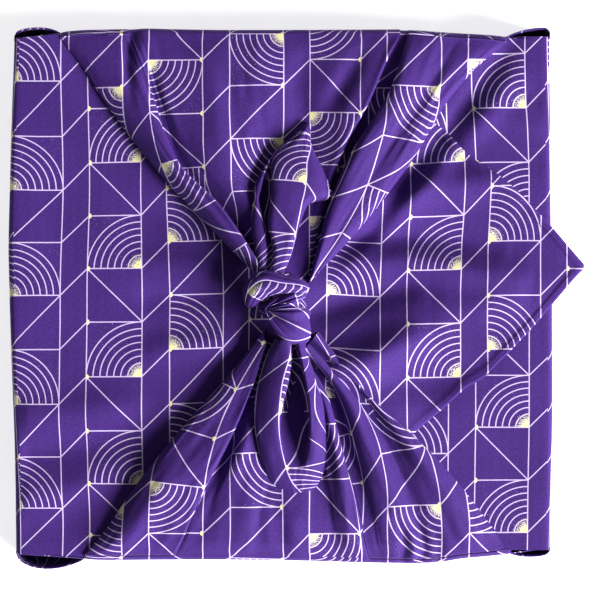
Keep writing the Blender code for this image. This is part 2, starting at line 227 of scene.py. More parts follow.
@dataclass
class Patch:
    """A stretch of the sheet: a grid of points with the cloth's own flat coordinates.

    Attributes:
        points: rows by columns by 3, in millimetres.
        flat: rows by columns by 2, the place on the flat cloth, in millimetres.
        facing: the way that the printed side faces on average.
        hem: rows by columns, the distance from a hemmed edge, in millimetres.
    """

    points: np.ndarray
    flat: np.ndarray
    facing: Point
    hem: np.ndarray | None = None


class Sheet:
    """Collects patches in one bmesh.

    Attributes:
        FAR_FROM_HEM: hem distance of cloth that has no hem near it.
        GRAIN_DRIFT: how far the print strays from the straight grain.
        GRAIN_WAVES: lengths and field number of that stray, across and along.
        WELD: patches are welded where their points are this close.
        SLIVER: edges shorter than this are dissolved.
    """

    FAR_FROM_HEM = 99.0
    GRAIN_DRIFT = 1.8
    GRAIN_WAVES = ((71.0, 64.0, 91), (66.0, 73.0, 92))
    WELD = 0.02
    SLIVER = 0.002

    def __init__(self) -> None:
        """Start an empty sheet with its two layers."""
        self.mesh = bmesh.new()
        self.flat = self.mesh.loops.layers.uv.new("flat_cloth")
        self.hem = self.mesh.verts.layers.float.new("hem_distance")

    def add(self, patch: Patch) -> None:
        """Lay one patch, as a grid whose vertices move to the patch's points.

        Args:
            patch: the stretch of cloth to lay.
        """
        rows, columns = patch.points.shape[:2]
        made = bmesh.ops.create_grid(
            self.mesh, x_segments=columns - 1, y_segments=rows - 1, size=1.0
        )
        verts = made["verts"]
        faces = {face for vert in verts for face in vert.link_faces}
        u, v = patch.flat[..., 0], patch.flat[..., 1]
        stray = [drift(u / wide, v / long, seed) for wide, long, seed in self.GRAIN_WAVES]
        flat = patch.flat + self.GRAIN_DRIFT * np.stack(stray, axis=-1)
        place = {}
        for vert in verts:
            column = round((vert.co.x + 1.0) / 2.0 * (columns - 1))
            row = round((vert.co.y + 1.0) / 2.0 * (rows - 1))
            place[vert] = (row, column)
        for vert, (row, column) in place.items():
            vert.co = patch.points[row, column] * MM
            vert[self.hem] = self.FAR_FROM_HEM if patch.hem is None else patch.hem[row, column]
        for face in faces:
            face.smooth = True
            for loop in face.loops:
                loop[self.flat].uv = flat[place[loop.vert]] * MM
        way = np.zeros(3)
        for face in faces:
            face.normal_update()
            way += np.array(face.normal) * face.calc_area()
        if np.dot(way, patch.facing) < 0.0:
            bmesh.ops.reverse_faces(self.mesh, faces=list(faces))

    def add_floor(self, outline: Sequence[Point]) -> None:
        """Close the flat base with one face inside the walls.

        Args:
            outline: the feet of the four walls, in order.
        """
        verts = [self.mesh.verts.new(np.array(point) * MM) for point in outline]
        face = self.mesh.faces.new(verts)
        face.normal_update()
        if face.normal.z > 0.0:
            face.normal_flip()
        for vert in verts:
            vert[self.hem] = self.FAR_FROM_HEM
        for loop in face.loops:
            loop[self.flat].uv = (-loop.vert.co.x, loop.vert.co.y)

    def finish(self, name: str) -> bpy.types.Object:
        """Weld the patches where they meet and make the object.

        Args:
            name: the piece's name.

        Returns:
            The cloth, with its place in its mesh.
        """
        bmesh.ops.remove_doubles(self.mesh, verts=self.mesh.verts, dist=self.WELD * MM)
        bmesh.ops.dissolve_degenerate(self.mesh, edges=self.mesh.edges, dist=self.SLIVER * MM)
        data = bpy.data.meshes.new(name)
        self.mesh.to_mesh(data)
        self.mesh.free()
        piece = bpy.data.objects.new(name, data)
        bpy.context.collection.objects.link(piece)
        LOG.info("%s: %d faces", name, len(data.polygons))
        return piece


# ---------------------------------------------------------------- creases


@dataclass(frozen=True)
class Crease:
    """A soft trough along a line seen from above, or with a negative depth a ridge.

    Attributes:
        line: the way it runs.
        depth: how far it lowers the cloth.
        width: half its width, where it has about a third of its depth.
        ENDS: the part of the line outside these shares is as shallow as there.
    """

    line: tuple[Plan, ...]
    depth: float
    width: float

    ENDS = (0.02, 0.98)

    def drop(self, x: np.ndarray, y: np.ndarray) -> np.ndarray:
        """How far the crease lowers the cloth.

        Args:
            x: places east.
            y: places north.

        Returns:
            One drop for each place.
        """
        best = np.full(x.shape, np.inf)
        place = np.zeros(x.shape)
        steps = len(self.line) - 1
        for step in range(steps):
            start, end = np.array(self.line[step]), np.array(self.line[step + 1])
            run = end - start
            t = ((x - start[0]) * run[0] + (y - start[1]) * run[1]) / float(run @ run)
            t = np.clip(t, 0.0, 1.0)
            gap = np.hypot(x - start[0] - t * run[0], y - start[1] - t * run[1])
            closer = gap < best
            best = np.where(closer, gap, best)
            place = np.where(closer, (step + t) / steps, place)
        fade = np.sqrt(np.clip(np.sin(np.pi * np.clip(place, *self.ENDS)), 0.0, 1.0))
        return self.depth * fade * np.exp(-((best / self.width) ** 2))


def pressed(points: np.ndarray, creases: Sequence[Crease]) -> np.ndarray:
    """Press creases into points.

    Args:
        points: points of the cloth, in any grid.
        creases: the troughs and ridges to press.

    Returns:
        The lowered and raised points.
    """
    points = points.copy()
    for crease in creases:
        points[..., 2] -= crease.drop(points[..., 0], points[..., 1])
    return points


# ---------------------------------------------------------------- walls


class Outline:
    """The walls seen from above, as uneven as cloth on a box: (place, distance out)."""

    WEST = (
        (-146.0, 147.1), (-110.0, 147.4), (-77.0, 148.1), (-24.0, 150.2), (25.0, 151.5),
        (80.0, 150.2), (143.0, 148.0),
    )
    EAST = ((-143.0, 149.4), (-60.0, 150.8), (0.0, 150.5), (60.0, 149.8), (143.0, 149.0))
    EASE = 6.0

    @classmethod
    def west(cls, y: np.ndarray) -> np.ndarray:
        """X of the west wall's face."""
        return -along_table(cls.WEST, y, cls.EASE)

    @classmethod
    def east(cls, y: np.ndarray) -> np.ndarray:
        """X of the east wall's face."""
        return along_table(cls.EAST, y, cls.EASE)


@dataclass
class Wall:
    """One wall of the wrapped parcel, from the base up to the edge it turns over.

    Attributes:
        face: outer points in plan, columns by 2.
        top: where the wall hands over to the flap, columns by 3.
        inward: unit vector in plan, from the wall to the middle.
        facing: the way the wall faces.
        flat_face: flat coordinates of the wall's foot, columns by 2.
        climb: change of the flat coordinates for each millimetre of height.
        seed: field number of the wall's slack.
        slack: size of the wall's soft waves.
        FOOT: (distance drawn in, height) of the rounded rows at the base.
        LEVELS: heights of the rows above them.
        TURN: shares of the way over the rounded top edge.
        WAVE: length of the waves along the wall and up it.
        CALM_ABOVE: height at which the waves have died away.
        TOP_DROP: how far the rounded edge's corner lies below the flap.
        TOP_RUN: cloth that the rounded edge takes up beyond the wall's height.
    """

    face: np.ndarray
    top: np.ndarray
    inward: Plan
    facing: Point
    flat_face: np.ndarray
    climb: Plan
    seed: int
    slack: float = 0.35

    FOOT = ((2.8, 0.05), (0.9, 0.7), (0.15, 2.4))
    LEVELS = (5.0, 8.5, 12.0, 15.5, 19.0, 22.0, 24.6)
    TURN = (0.3, 0.6, 0.85, 1.0)
    WAVE = (23.0, 14.0)
    CALM_ABOVE = 27.0
    TOP_DROP = 0.2
    TOP_RUN = 3.0

    def patch(self) -> Patch:
        """Lay the wall.

        Returns:
            The wall's stretch of cloth.
        """
        across = np.hypot(*(self.face - self.face[0]).T)
        rows, heights = [], []
        for draw_in, z in self.FOOT:
            rows.append(self._row(draw_in, z))
            heights.append(z - draw_in)
        for z in self.LEVELS:
            up = np.full_like(across, z / self.WAVE[1])
            wave = drift(across / self.WAVE[0], up, self.seed)
            swing = -self.slack * wave * math.sin(math.pi * z / self.CALM_ABOVE)
            rows.append(self._row(swing, z))
            heights.append(z)
        last = self.LEVELS[-1]
        edge = self._row(0.0, last)
        corner = edge.copy()
        corner[:, 2] = self.top[:, 2] - self.TOP_DROP
        for t in self.TURN:
            rows.append((1 - t) ** 2 * edge + 2 * t * (1 - t) * corner + t**2 * self.top)
            heights.append(last + t * (WALL_HEIGHT + self.TOP_RUN - last))
        climb = np.array(self.climb)
        flat = np.stack([self.flat_face + climb * height for height in heights])
        return Patch(np.stack(rows), flat, self.facing)

    def foot(self) -> list[Point]:
        """The wall's lowest row."""
        return [tuple(point) for point in self._row(*self.FOOT[0])]

    def _row(self, draw_in: float | np.ndarray, z: float) -> np.ndarray:
        """One level of the wall.

        Args:
            draw_in: how far it is drawn in, for the row or for each column.
            z: its height.

        Returns:
            Columns by 3.
        """
        step = np.multiply.outer(np.broadcast_to(draw_in, len(self.face)), np.array(self.inward))
        plan = self.face + step
        return np.column_stack([plan, np.full(len(plan), z)])


# ---------------------------------------------------------------- flat flaps


@dataclass
class WestFlap:
    """The west flap: from the west wall's edge across the top to the overhanging tip.

    Attributes:
        north: its north edge in plan, from the wall to the tip.
        south: its south edge in plan, from the wall to the tip.
        start: where its rows start.
        end: the tip.
        fine_from: where the rows get closer, for the free edges.
        overhang: where it leaves the parcel's east edge.
        turn_in: how far in from the wall's face the flap starts.
        droop: how far the tip hangs down.
        hem_width: width of the folded hem.
        hem_rise: how far the hem's three layers stand up.
        hem_step: how far the hem's step runs out and in from its width.
        hem_round: how far the hem's fold is rounded down at the edge.
        hem_from: where the hem begins to show, from none to all.
        free_lift: how far the free edges lift off, on average and up and down.
        free_wave: length of those waves.
        free_from: where the free edges begin to lift, from none to all.
        waves: slack of the cloth between the creases.
        creases: what the knot pulls into the flap.
    """

    north: tuple[tuple[float, float], ...] = (
        (-147.4, 142.0), (-122.0, 144.4), (-90.0, 145.2), (22.0, 145.2), (92.0, 90.0),
        (100.0, 81.0), (112.0, 71.0), (119.5, 67.0), (132.0, 56.4), (150.5, 37.0),
        (164.5, 20.6), (167.7, 17.2),
    )
    south: tuple[tuple[float, float], ...] = (
        (-147.4, -143.6), (-108.0, -145.2), (5.0, -145.0), (74.0, -76.0), (91.0, -61.9),
        (102.0, -51.7), (111.6, -46.5), (125.0, -33.0), (139.5, -17.7), (154.5, 0.0),
        (163.8, 10.8), (167.7, 14.4),
    )
    start: float = -145.0
    end: float = 167.7
    fine_from: float = 100.0
    overhang: float = 150.0
    columns: int = 94
    row_step: float = 3.1
    fine_step: float = 1.8
    edge_ease: float = 1.2
    turn_in: float = 3.4
    settle_run: float = 40.0
    droop: float = 1.4
    hem_width: float = 4.6
    hem_rise: float = 0.55
    hem_step: Plan = (0.9, 0.5)
    hem_round: float = 0.7
    hem_from: Plan = (30.0, 60.0)
    free_lift: Plan = (0.5, 0.8)
    free_reach: float = 14.0
    free_wave: float = 34.0
    free_seed: int = 21
    free_from: Plan = (84.0, 118.0)
    waves: tuple[Wave, ...] = (
        Wave(0.80, (62.0, 54.0), 3, (3.0, 0.0)),
        Wave(0.35, (24.0, 31.0), 8),
        Wave(0.09, (9.0, 11.0), 15),
    )
    creases: tuple[Crease, ...] = (
        Crease(((-150.0, -66.0), (-110.0, -64.0), (-70.0, -60.0)), -3.0, 9.0),
        Crease(((-150.0, -88.0), (-112.0, -85.0), (-76.0, -80.0)), 3.0, 8.0),
        Crease(((-148.0, -110.0), (-118.0, -108.0), (-92.0, -100.0)), -2.8, 8.0),
        Crease(((-150.0, -128.0), (-124.0, -128.0), (-100.0, -124.0)), 1.2, 9.0),
        Crease(((-130.0, -18.0), (-90.0, -26.0), (-48.0, -34.0)), 1.0, 15.0),
        Crease(((-140.0, 62.0), (-96.0, 44.0), (-50.0, 26.0)), 0.8, 13.0),
        Crease(((-26.0, 36.0), (-54.0, 42.0), (-88.0, 48.0)), 1.8, 7.0),
        Crease(((-20.0, 14.0), (-52.0, 16.0), (-88.0, 20.0)), -2.2, 7.0),
        Crease(((-14.0, 2.0), (-44.0, -1.0), (-84.0, -2.0)), 3.4, 7.0),
        Crease(((-20.0, -25.0), (-42.0, -27.0), (-78.0, -31.0)), -4.4, 8.0),
        Crease(((-126.0, 146.0), (-100.0, 105.0), (-76.0, 72.0), (-48.0, 42.0),
                (-16.0, 8.0)), 1.0, 7.0),
        Crease(((130.0, 142.0), (104.0, 107.0), (76.5, 70.0), (49.5, 34.6),
                (24.0, 12.0)), 3.0, 4.6),
        Crease(((110.0, 104.0), (86.0, 69.0), (60.0, 38.0), (32.0, 16.0)), -3.2, 6.0),
        Crease(((26.0, 38.0), (56.0, 50.0), (92.0, 60.0), (118.0, 62.0),
                (138.0, 50.0)), -5.8, 10.0),
        Crease(((24.0, 27.0), (56.0, 34.0), (90.0, 32.0), (126.0, 24.0)), 5.0, 8.0),
        Crease(((28.0, 15.0), (64.0, 19.0), (104.0, 12.0), (142.0, 8.0)), -4.4, 8.0),
        Crease(((8.0, -12.0), (38.0, -3.0), (78.0, 6.0)), 6.6, 8.5),
        Crease(((18.0, -44.0), (46.0, -37.0), (84.0, -19.0)), -10.0, 11.0),
        Crease(((34.0, -46.0), (56.0, -60.0), (76.0, -78.0)), -5.2, 10.0),
        Crease(((84.0, -6.0), (110.0, -6.0), (138.0, 0.0)), -2.8, 10.0),
        Crease(((50.0, -50.0), (84.0, -48.0), (116.0, -36.0)), 2.6, 9.0),
        Crease(((98.0, 70.0), (118.0, 40.0), (140.0, 24.0)), 0.5, 9.0),
    )

    HEM_ROWS = (0.0, 0.0036, 0.0072, 0.0108, 0.0144, 0.0165, 0.0186, 0.023, 0.031)

    def spread(self) -> np.ndarray:
        """Where the columns run between the two edges, closer at both hems."""
        near = np.array(self.HEM_ROWS)
        middle = np.linspace(near[-1], 1.0 - near[-1], self.columns - 2 * len(near) + 2)
        return np.concatenate([near[:-1], middle, (1.0 - near[:-1])[::-1]])

    def edge_rows(self) -> tuple[np.ndarray, np.ndarray]:
        """Y of each column at the wall, and the matching X of the wall's face."""
        y = self.south[0][1] + (self.north[0][1] - self.south[0][1]) * self.spread()
        return y, Outline.west(y)

    def margin(self, x: np.ndarray, y: np.ndarray) -> np.ndarray:
        """How far inside the two long edges each place is, measured north to south."""
        north, south = (np.interp(x, *np.array(edge).T) for edge in (self.north, self.south))
        return np.minimum(north - y, y - south)

    def _plan(self) -> tuple[np.ndarray, np.ndarray]:
        """Lay out the flap seen from above.

        Returns:
            X and Y, rows from the wall to the tip by columns from south to north.
        """
        xs = np.concatenate([
            np.arange(self.start, self.fine_from, self.row_step),
            np.arange(self.fine_from, self.end, self.fine_step), [self.end],
        ])
        xs = xs[np.concatenate([[True], np.diff(xs) > 0.3])]
        low = along_table(self.south, xs, self.edge_ease)
        high = along_table(self.north, xs, self.edge_ease)
        for row in (0, -1):
            low[row], high[row] = self.south[row][1], self.north[row][1]
        share = self.spread()
        y = low[:, None] + (high - low)[:, None] * share[None, :]
        x = np.repeat(xs[:, None], len(share), axis=1)
        first = self.edge_rows()[1] + self.turn_in
        x[0] = first
        settle = 1.0 - ramp(xs, self.start, self.start + self.settle_run)
        x[1:] += (first - self.start)[None, :] * settle[1:, None]
        return x, y

    def patch(self) -> Patch:
        """Lay the flap.

        Returns:
            The flap's stretch of cloth.
        """
        x, y = self._plan()
        past = np.clip((x - self.overhang) / (self.end - self.overhang), 0.0, 1.0)
        inside = ramp(x, self.start + 1.0, self.start + 24.0)
        z = rippled(WEST_TOP - self.droop * past**1.5, x, y, inside, self.waves)
        # The free hemmed edges wave a little and lift off the layer below.
        hem = np.minimum(self.margin(x, y) * math.sqrt(0.5), (self.end - x) + 0.4)
        hem = np.clip(hem, 0.0, Sheet.FAR_FROM_HEM)
        lift = ramp(x, *self.free_from) * np.exp(-((hem / self.free_reach) ** 2))
        wave = drift((x - y) / self.free_wave, (x + y) / self.free_wave, self.free_seed)
        z += lift * (self.free_lift[0] + self.free_lift[1] * wave)
        hemmed = ramp(x, *self.hem_from)
        out, inward = self.hem_step
        step = 1.0 - ramp(hem, self.hem_width - out, self.hem_width + inward)
        z += hemmed * self.hem_rise * step
        z -= hemmed * self.hem_round * (1.0 - ramp(hem, 0.0, 1.0))
        points = pressed(np.stack([x, y, z], axis=-1), self.creases)
        points[0, :, 2] = WEST_TOP
        flat = np.stack([x + PARCEL_SIDE + WALL_HEIGHT, y], axis=-1)
        return Patch(points, flat, UP, np.where(hemmed > 0.5, hem, Sheet.FAR_FROM_HEM))

    def wall(self) -> Wall:
        """The west wall below the flap."""
        y, face = self.edge_rows()
        return Wall(
            face=np.column_stack([face, y]),
            top=np.column_stack([face + self.turn_in, y, np.full_like(y, WEST_TOP)]),
            inward=(1.0, 0.0), facing=(-1.0, 0.0, 0.0),
            flat_face=np.column_stack([-face, y]), climb=(1.0, 0.0), seed=31,
        )


@dataclass
class EastFlap:
    """The east flap: folded over the top first, and seen at the two east corners.

    Attributes:
        south_end: the flap's south end at the wall.
        north_end: its north end at the wall.
        tip: the hidden tip.
        turn_in: how far in from the wall's face the flap starts.
        start: where its rows start.
        shown_to: where its close rows end, under the west flap.
        hidden_from: where its wide rows start.
        calm: the waves are full west of the first and gone east of the second.
        sink: how far it sinks where the west flap covers it.
        sink_run: how far in under the west flap it starts to sink and has sunk.
        waves: slack of the cloth between the creases.
        creases: what the knot pulls into the flap.
    """

    south_end: float = -141.4
    north_end: float = 143.2
    tip: float = -142.0
    columns: int = 84
    turn_in: float = 3.0
    start: float = 146.0
    settle_run: float = 40.0
    shown_to: float = 40.0
    hidden_from: float = 38.0
    row_step: float = 2.7
    hidden_step: float = 7.0
    calm: Plan = (124.0, 145.0)
    sink: float = 6.0
    sink_run: Plan = (5.0, 24.0)
    waves: tuple[Wave, ...] = (
        Wave(0.40, (46.0, 40.0), 5, (0.0, 7.0)),
        Wave(0.22, (19.0, 23.0), 11),
        Wave(0.09, (9.0, 10.0), 17),
    )
    creases: tuple[Crease, ...] = (
        Crease(((132.0, 146.0), (104.0, 107.0), (84.0, 80.0)), 3.4, 5.0),
        Crease(((132.0, 122.0), (118.0, 105.0), (98.0, 78.0)), -3.0, 6.0),
        Crease(((88.0, 92.0), (110.0, 84.0), (146.0, 70.0)), 1.2, 6.0),
        Crease(((104.0, 100.0), (124.0, 97.0), (150.0, 90.0)), -1.4, 5.0),
        Crease(((108.0, 112.0), (128.0, 112.0), (150.0, 108.0)), 1.2, 5.0),
        Crease(((94.0, 104.0), (118.0, 112.0), (144.0, 118.0)), -0.6, 8.0),
        Crease(((100.0, 118.0), (122.0, 130.0), (146.0, 136.0)), 0.6, 6.0),
        Crease(((92.0, 80.0), (112.0, 76.0), (140.0, 52.0)), -0.5, 8.0),
        Crease(((84.0, -82.0), (108.0, -90.0), (144.0, -96.0)), 0.6, 9.0),
        Crease(((96.0, -98.0), (118.0, -116.0), (144.0, -128.0)), -0.5, 8.0),
        Crease(((84.0, -72.0), (112.0, -64.0), (144.0, -46.0)), -0.5, 9.0),
    )

    def edge_rows(self) -> tuple[np.ndarray, np.ndarray]:
        """Y of each column at the wall, and the matching X of the wall's face."""
        y = np.linspace(self.south_end, self.north_end, self.columns)
        return y, Outline.east(y)

    def patch(self) -> Patch:
        """Lay the flap.

        Returns:
            The flap's stretch of cloth.
        """
        y_wall, x_wall = self.edge_rows()
        xs = np.concatenate([
            np.arange(self.start, self.shown_to, -self.row_step),
            np.arange(self.hidden_from, self.tip, -self.hidden_step), [self.tip],
        ])
        reach = np.minimum(1.0, (xs - self.tip + 3.0) / (20.0 - self.tip))
        y = y_wall[None, :] * reach[:, None]
        x = np.repeat(xs[:, None], len(y_wall), axis=1)
        first = x_wall - self.turn_in
        x[0] = first
        settle = 1.0 - ramp(-xs, -self.start, self.settle_run - self.start)
        x[1:] += (first - self.start)[None, :] * settle[1:, None]
        inside = 1.0 - ramp(x, *self.calm)
        z = rippled(np.full_like(x, EAST_TOP), x, y, inside, self.waves)
        points = pressed(np.stack([x, y, z], axis=-1), self.creases)
        self._tuck(points)
        points[0, :, 2] = EAST_TOP
        flat = np.stack([x - PARCEL_SIDE - WALL_HEIGHT, y], axis=-1)
        return Patch(points, flat, UP)

    def _tuck(self, points: np.ndarray) -> None:
        """Keep the flap under the west flap, in place.

        Args:
            points: rows by columns by 3.
        """
        x, y = points[..., 0], points[..., 1]
        under = np.minimum(WestFlap().margin(x, y), 140.0 - x)
        highest = EAST_TOP + 1.6 + 2.0 * ramp(-under, 1.0, 9.0)
        points[..., 2] = np.minimum(points[..., 2], highest)
        points[..., 2] -= self.sink * ramp(under, *self.sink_run)

    def wall(self) -> Wall:
        """The east wall below the flap."""
        y, face = self.edge_rows()
        return Wall(
            face=np.column_stack([face, y]),
            top=np.column_stack([face - self.turn_in, y, np.full_like(y, EAST_TOP)]),
            inward=(-1.0, 0.0), facing=(1.0, 0.0, 0.0),
            flat_face=np.column_stack([-face, y]), climb=(-1.0, 0.0), seed=37,
        )


# ---------------------------------------------------------------- gathered flaps


class Rail(NamedTuple):
    """One line of a pleat, from the wall to the knot: (x, y, height above the west flap)."""

    wall: Point
    outer: Point
    middle: Point
    inner: Point
    throat: Point


class Side(Enum):
    """The two gathered flaps, by the way their wall faces."""

    NORTH = 1.0
    SOUTH = -1.0


@dataclass
class GatheredFlap:
    """A flap that climbs its wall and runs in pleats to the knot.

    Attributes:
        side: which flap it is.
        rails: its pleats, from west to east, with the cloth turned under at both ends.
        panels: where the print jumps from one deep fold to the next, as rail numbers.
        spines: the rail that each panel's print follows.
        twist: how far each panel's grain has turned at the knot, in degrees.
        creases: small folds that run beside the pleats.
        seed: number of the first field of the slack.
        under_rails: how many rails at each end are turned under.
        crispness: 0 for eased pleats, 1 for sharp ones.
        billow: how far the cloth between the turned-under ends swells up.
        slack: waves between the pleats, as (axis, height, bumps per rail, bumps along).
        SWELL: (share of the way to the knot, share of the billow).
        NEAR: columns beside a spine that tell which way its panel runs.
    """

    side: Side
    rails: tuple[Rail, ...]
    panels: tuple[int, ...]
    spines: tuple[int, ...]
    twist: tuple[float, ...]
    creases: tuple[Crease, ...]
    seed: int
    per_rail: int = 8
    under_rails: int = 2
    per_under_rail: int = 5
    rows: int = 94
    turn_in: float = 3.2
    crispness: float = 0.7
    billow: float = 1.8
    slack: tuple[tuple[int, float, float, float], ...] = (
        (2, 0.55, 1.3, 4.2), (2, 0.30, 2.9, 9.0), (0, 0.50, 0.9, 6.0),
    )

    SWELL = ((0.0, 0.0), (0.09, 0.68), (0.2, 1.0), (0.4, 0.7), (0.6, 0.15), (1.0, 0.0))
    NEAR = 3

    def __post_init__(self) -> None:
        """Work out the flap's points once."""
        table = np.array(self.rails, dtype=float)
        sections = through(table.transpose(1, 0, 2), self._stations()).transpose(1, 0, 2)
        last, under = len(self.rails) - 1, self.under_rails
        self.across = np.concatenate([
            np.linspace(0.0, under, under * self.per_under_rail + 1)[:-1],
            np.linspace(under, last - under, (last - 2 * under) * self.per_rail + 1),
            np.linspace(last - under, last, under * self.per_under_rail + 1)[1:],
        ])
        points = crisp(sections, self.across / last, self.crispness).transpose(1, 0, 2)
        points[..., 2] += WEST_TOP
        self.face = points[0].copy()
        inward = self.turn_in * (1.0 - ramp(self._stations(), 0.0, 0.16))
        points[..., 1] -= self.side.value * inward[:, None]
        self.smooth = points
        self.points = self._wrinkled(points)

    def _stations(self) -> np.ndarray:
        """Places along the rails, closer where the flap turns over the wall."""
        return np.linspace(0.0, 1.0, self.rows) ** 1.04

    def _column(self, rail: float) -> int:
        """The column nearest to a rail."""
        return int(np.argmin(np.abs(self.across - rail)))

    def _bounds(self) -> list[int]:
        """The columns where the panels start, and the last one's end."""
        return [0, *(self._column(rail) for rail in self.panels), len(self.across)]

    def _wrinkled(self, points: np.ndarray) -> np.ndarray:
        """Add the slack between the pleats, which runs along them.

        Args:
            points: the smooth pleats.

        Returns:
            The points with their slack and creases.
        """
        points = points.copy()
        stations = self._stations()
        count = len(self.across)
        u = np.repeat(self.across[None, :], self.rows, axis=0)
        v = np.repeat(stations[:, None], count, axis=1)
        calm = ramp(v, 0.0, 0.05)
        narrow = 1.0 - 0.55 * ramp(v, 0.35, 1.0)
        start, end = self.under_rails, len(self.rails) - self.under_rails
        inside = ramp(u, start + 2.0, start + 5.0) * (1.0 - ramp(u, end - 6.0, end - 3.0))
        swell = np.interp(stations, *np.array(self.SWELL).T)
        points[..., 2] += self.billow * inside * swell[:, None]
        for step, (axis, height, across, along) in enumerate(self.slack):
            bumps = drift(u * across, v * along, self.seed + step)
            points[..., axis] += calm * narrow * height * bumps
        fine = Wave(0.10, (6.0, 7.0), self.seed + len(self.slack))
        points[..., 2] = rippled(points[..., 2], points[..., 0], points[..., 1], calm, [fine])
        return pressed(points, self.creases)

    def _flat(self) -> np.ndarray:
        """The place of each point on the flat cloth, panel by panel."""
        bounds = self._bounds()
        flat = np.concatenate([
            self._panel(start, end, self._column(spine), math.radians(twist))
            for start, end, spine, twist in zip(bounds, bounds[1:], self.spines, self.twist)
        ], axis=1)
        sign = self.side.value
        reach = 2.0 * BASE_Y + WALL_HEIGHT
        return np.stack([-flat[..., 0], sign * reach - flat[..., 1]], axis=-1)

    def _panel(self, start: int, end: int, middle: int, twist: float) -> np.ndarray:
        """Unroll one panel along its spine, in plan at the wall and by arc near the knot.

        Args:
            start: the panel's first column.
            end: the column after its last.
            middle: the spine's column.
            twist: how far the grain has turned at the knot, in radians.

        Returns:
            Rows by the panel's columns by 2.
        """
        points = self.smooth
        line = points[:, middle]
        ahead = np.gradient(line[:, :2], axis=0)
        ahead /= np.linalg.norm(ahead, axis=1)[:, None]
        side = np.stack([-ahead[:, 1], ahead[:, 0]], axis=1)
        steps = np.diff(points, axis=1)
        forward = np.einsum("nmk,nk->nm", steps[..., :2], ahead)
        width = np.sqrt(np.maximum((steps**2).sum(axis=2) - forward**2, 0.0))
        arc = np.concatenate([np.zeros((self.rows, 1)), np.cumsum(width, axis=1)], axis=1)
        arc = (arc - arc[:, middle:middle + 1])[:, start:end]
        offset = points[:, start:end, :2] - line[:, None, :2]
        beside = np.einsum("nmk,nk->nm", offset, side)
        forward = np.einsum("nmk,nk->nm", offset, ahead)
        right, left = middle - start + self.NEAR, middle - start - self.NEAR
        sense = np.sign(np.median(beside[:, right] - beside[:, left]))
        blend = ramp(self._stations(), 0.0, 0.25)[:, None]
        beside = (1.0 - blend) * beside + blend * sense * arc

        angle = twist * ramp(self._stations(), 0.05, 1.0)
        turn = np.stack([np.cos(angle), -np.sin(angle), np.sin(angle), np.cos(angle)], -1)
        turn = turn.reshape(-1, 2, 2)
        run = np.diff(line[:, :2], axis=0)
        slope = np.linalg.norm(np.diff(line, axis=0), axis=1)
        slope /= np.maximum(np.linalg.norm(run, axis=1), 1e-6)
        moved = np.einsum("nij,nj->ni", turn[1:], run * slope[:, None])
        path = np.concatenate([line[:1, :2], line[0, :2] + np.cumsum(moved, axis=0)])
        offset = forward[..., None] * ahead[:, None] + beside[..., None] * side[:, None]
        return path[:, None] + np.einsum("nij,nmj->nmi", turn, offset)

    def patch(self) -> list[Patch]:
        """Lay the flap, split where the print jumps.

        Returns:
            One stretch of cloth for each panel.
        """
        flat = self._flat()
        bounds = self._bounds()
        laid = []
        for start, end in zip(bounds, bounds[1:]):
            stop = min(end + 1, len(self.across))
            part = flat[:, start:stop].copy()
            if stop > end:
                part[:, -1] = 2.0 * part[:, -2] - part[:, -3]
            laid.append(Patch(self.points[:, start:stop], part, UP))
        return laid

    def wall_columns(self) -> tuple[np.ndarray, np.ndarray]:
        """Face in plan and the turned-over top of each column that isn't turned under."""
        first, last = int(np.argmin(self.face[:, 0])), int(np.argmax(self.face[:, 0]))
        return self.face[first:last + 1, :2], self.points[0, first:last + 1]


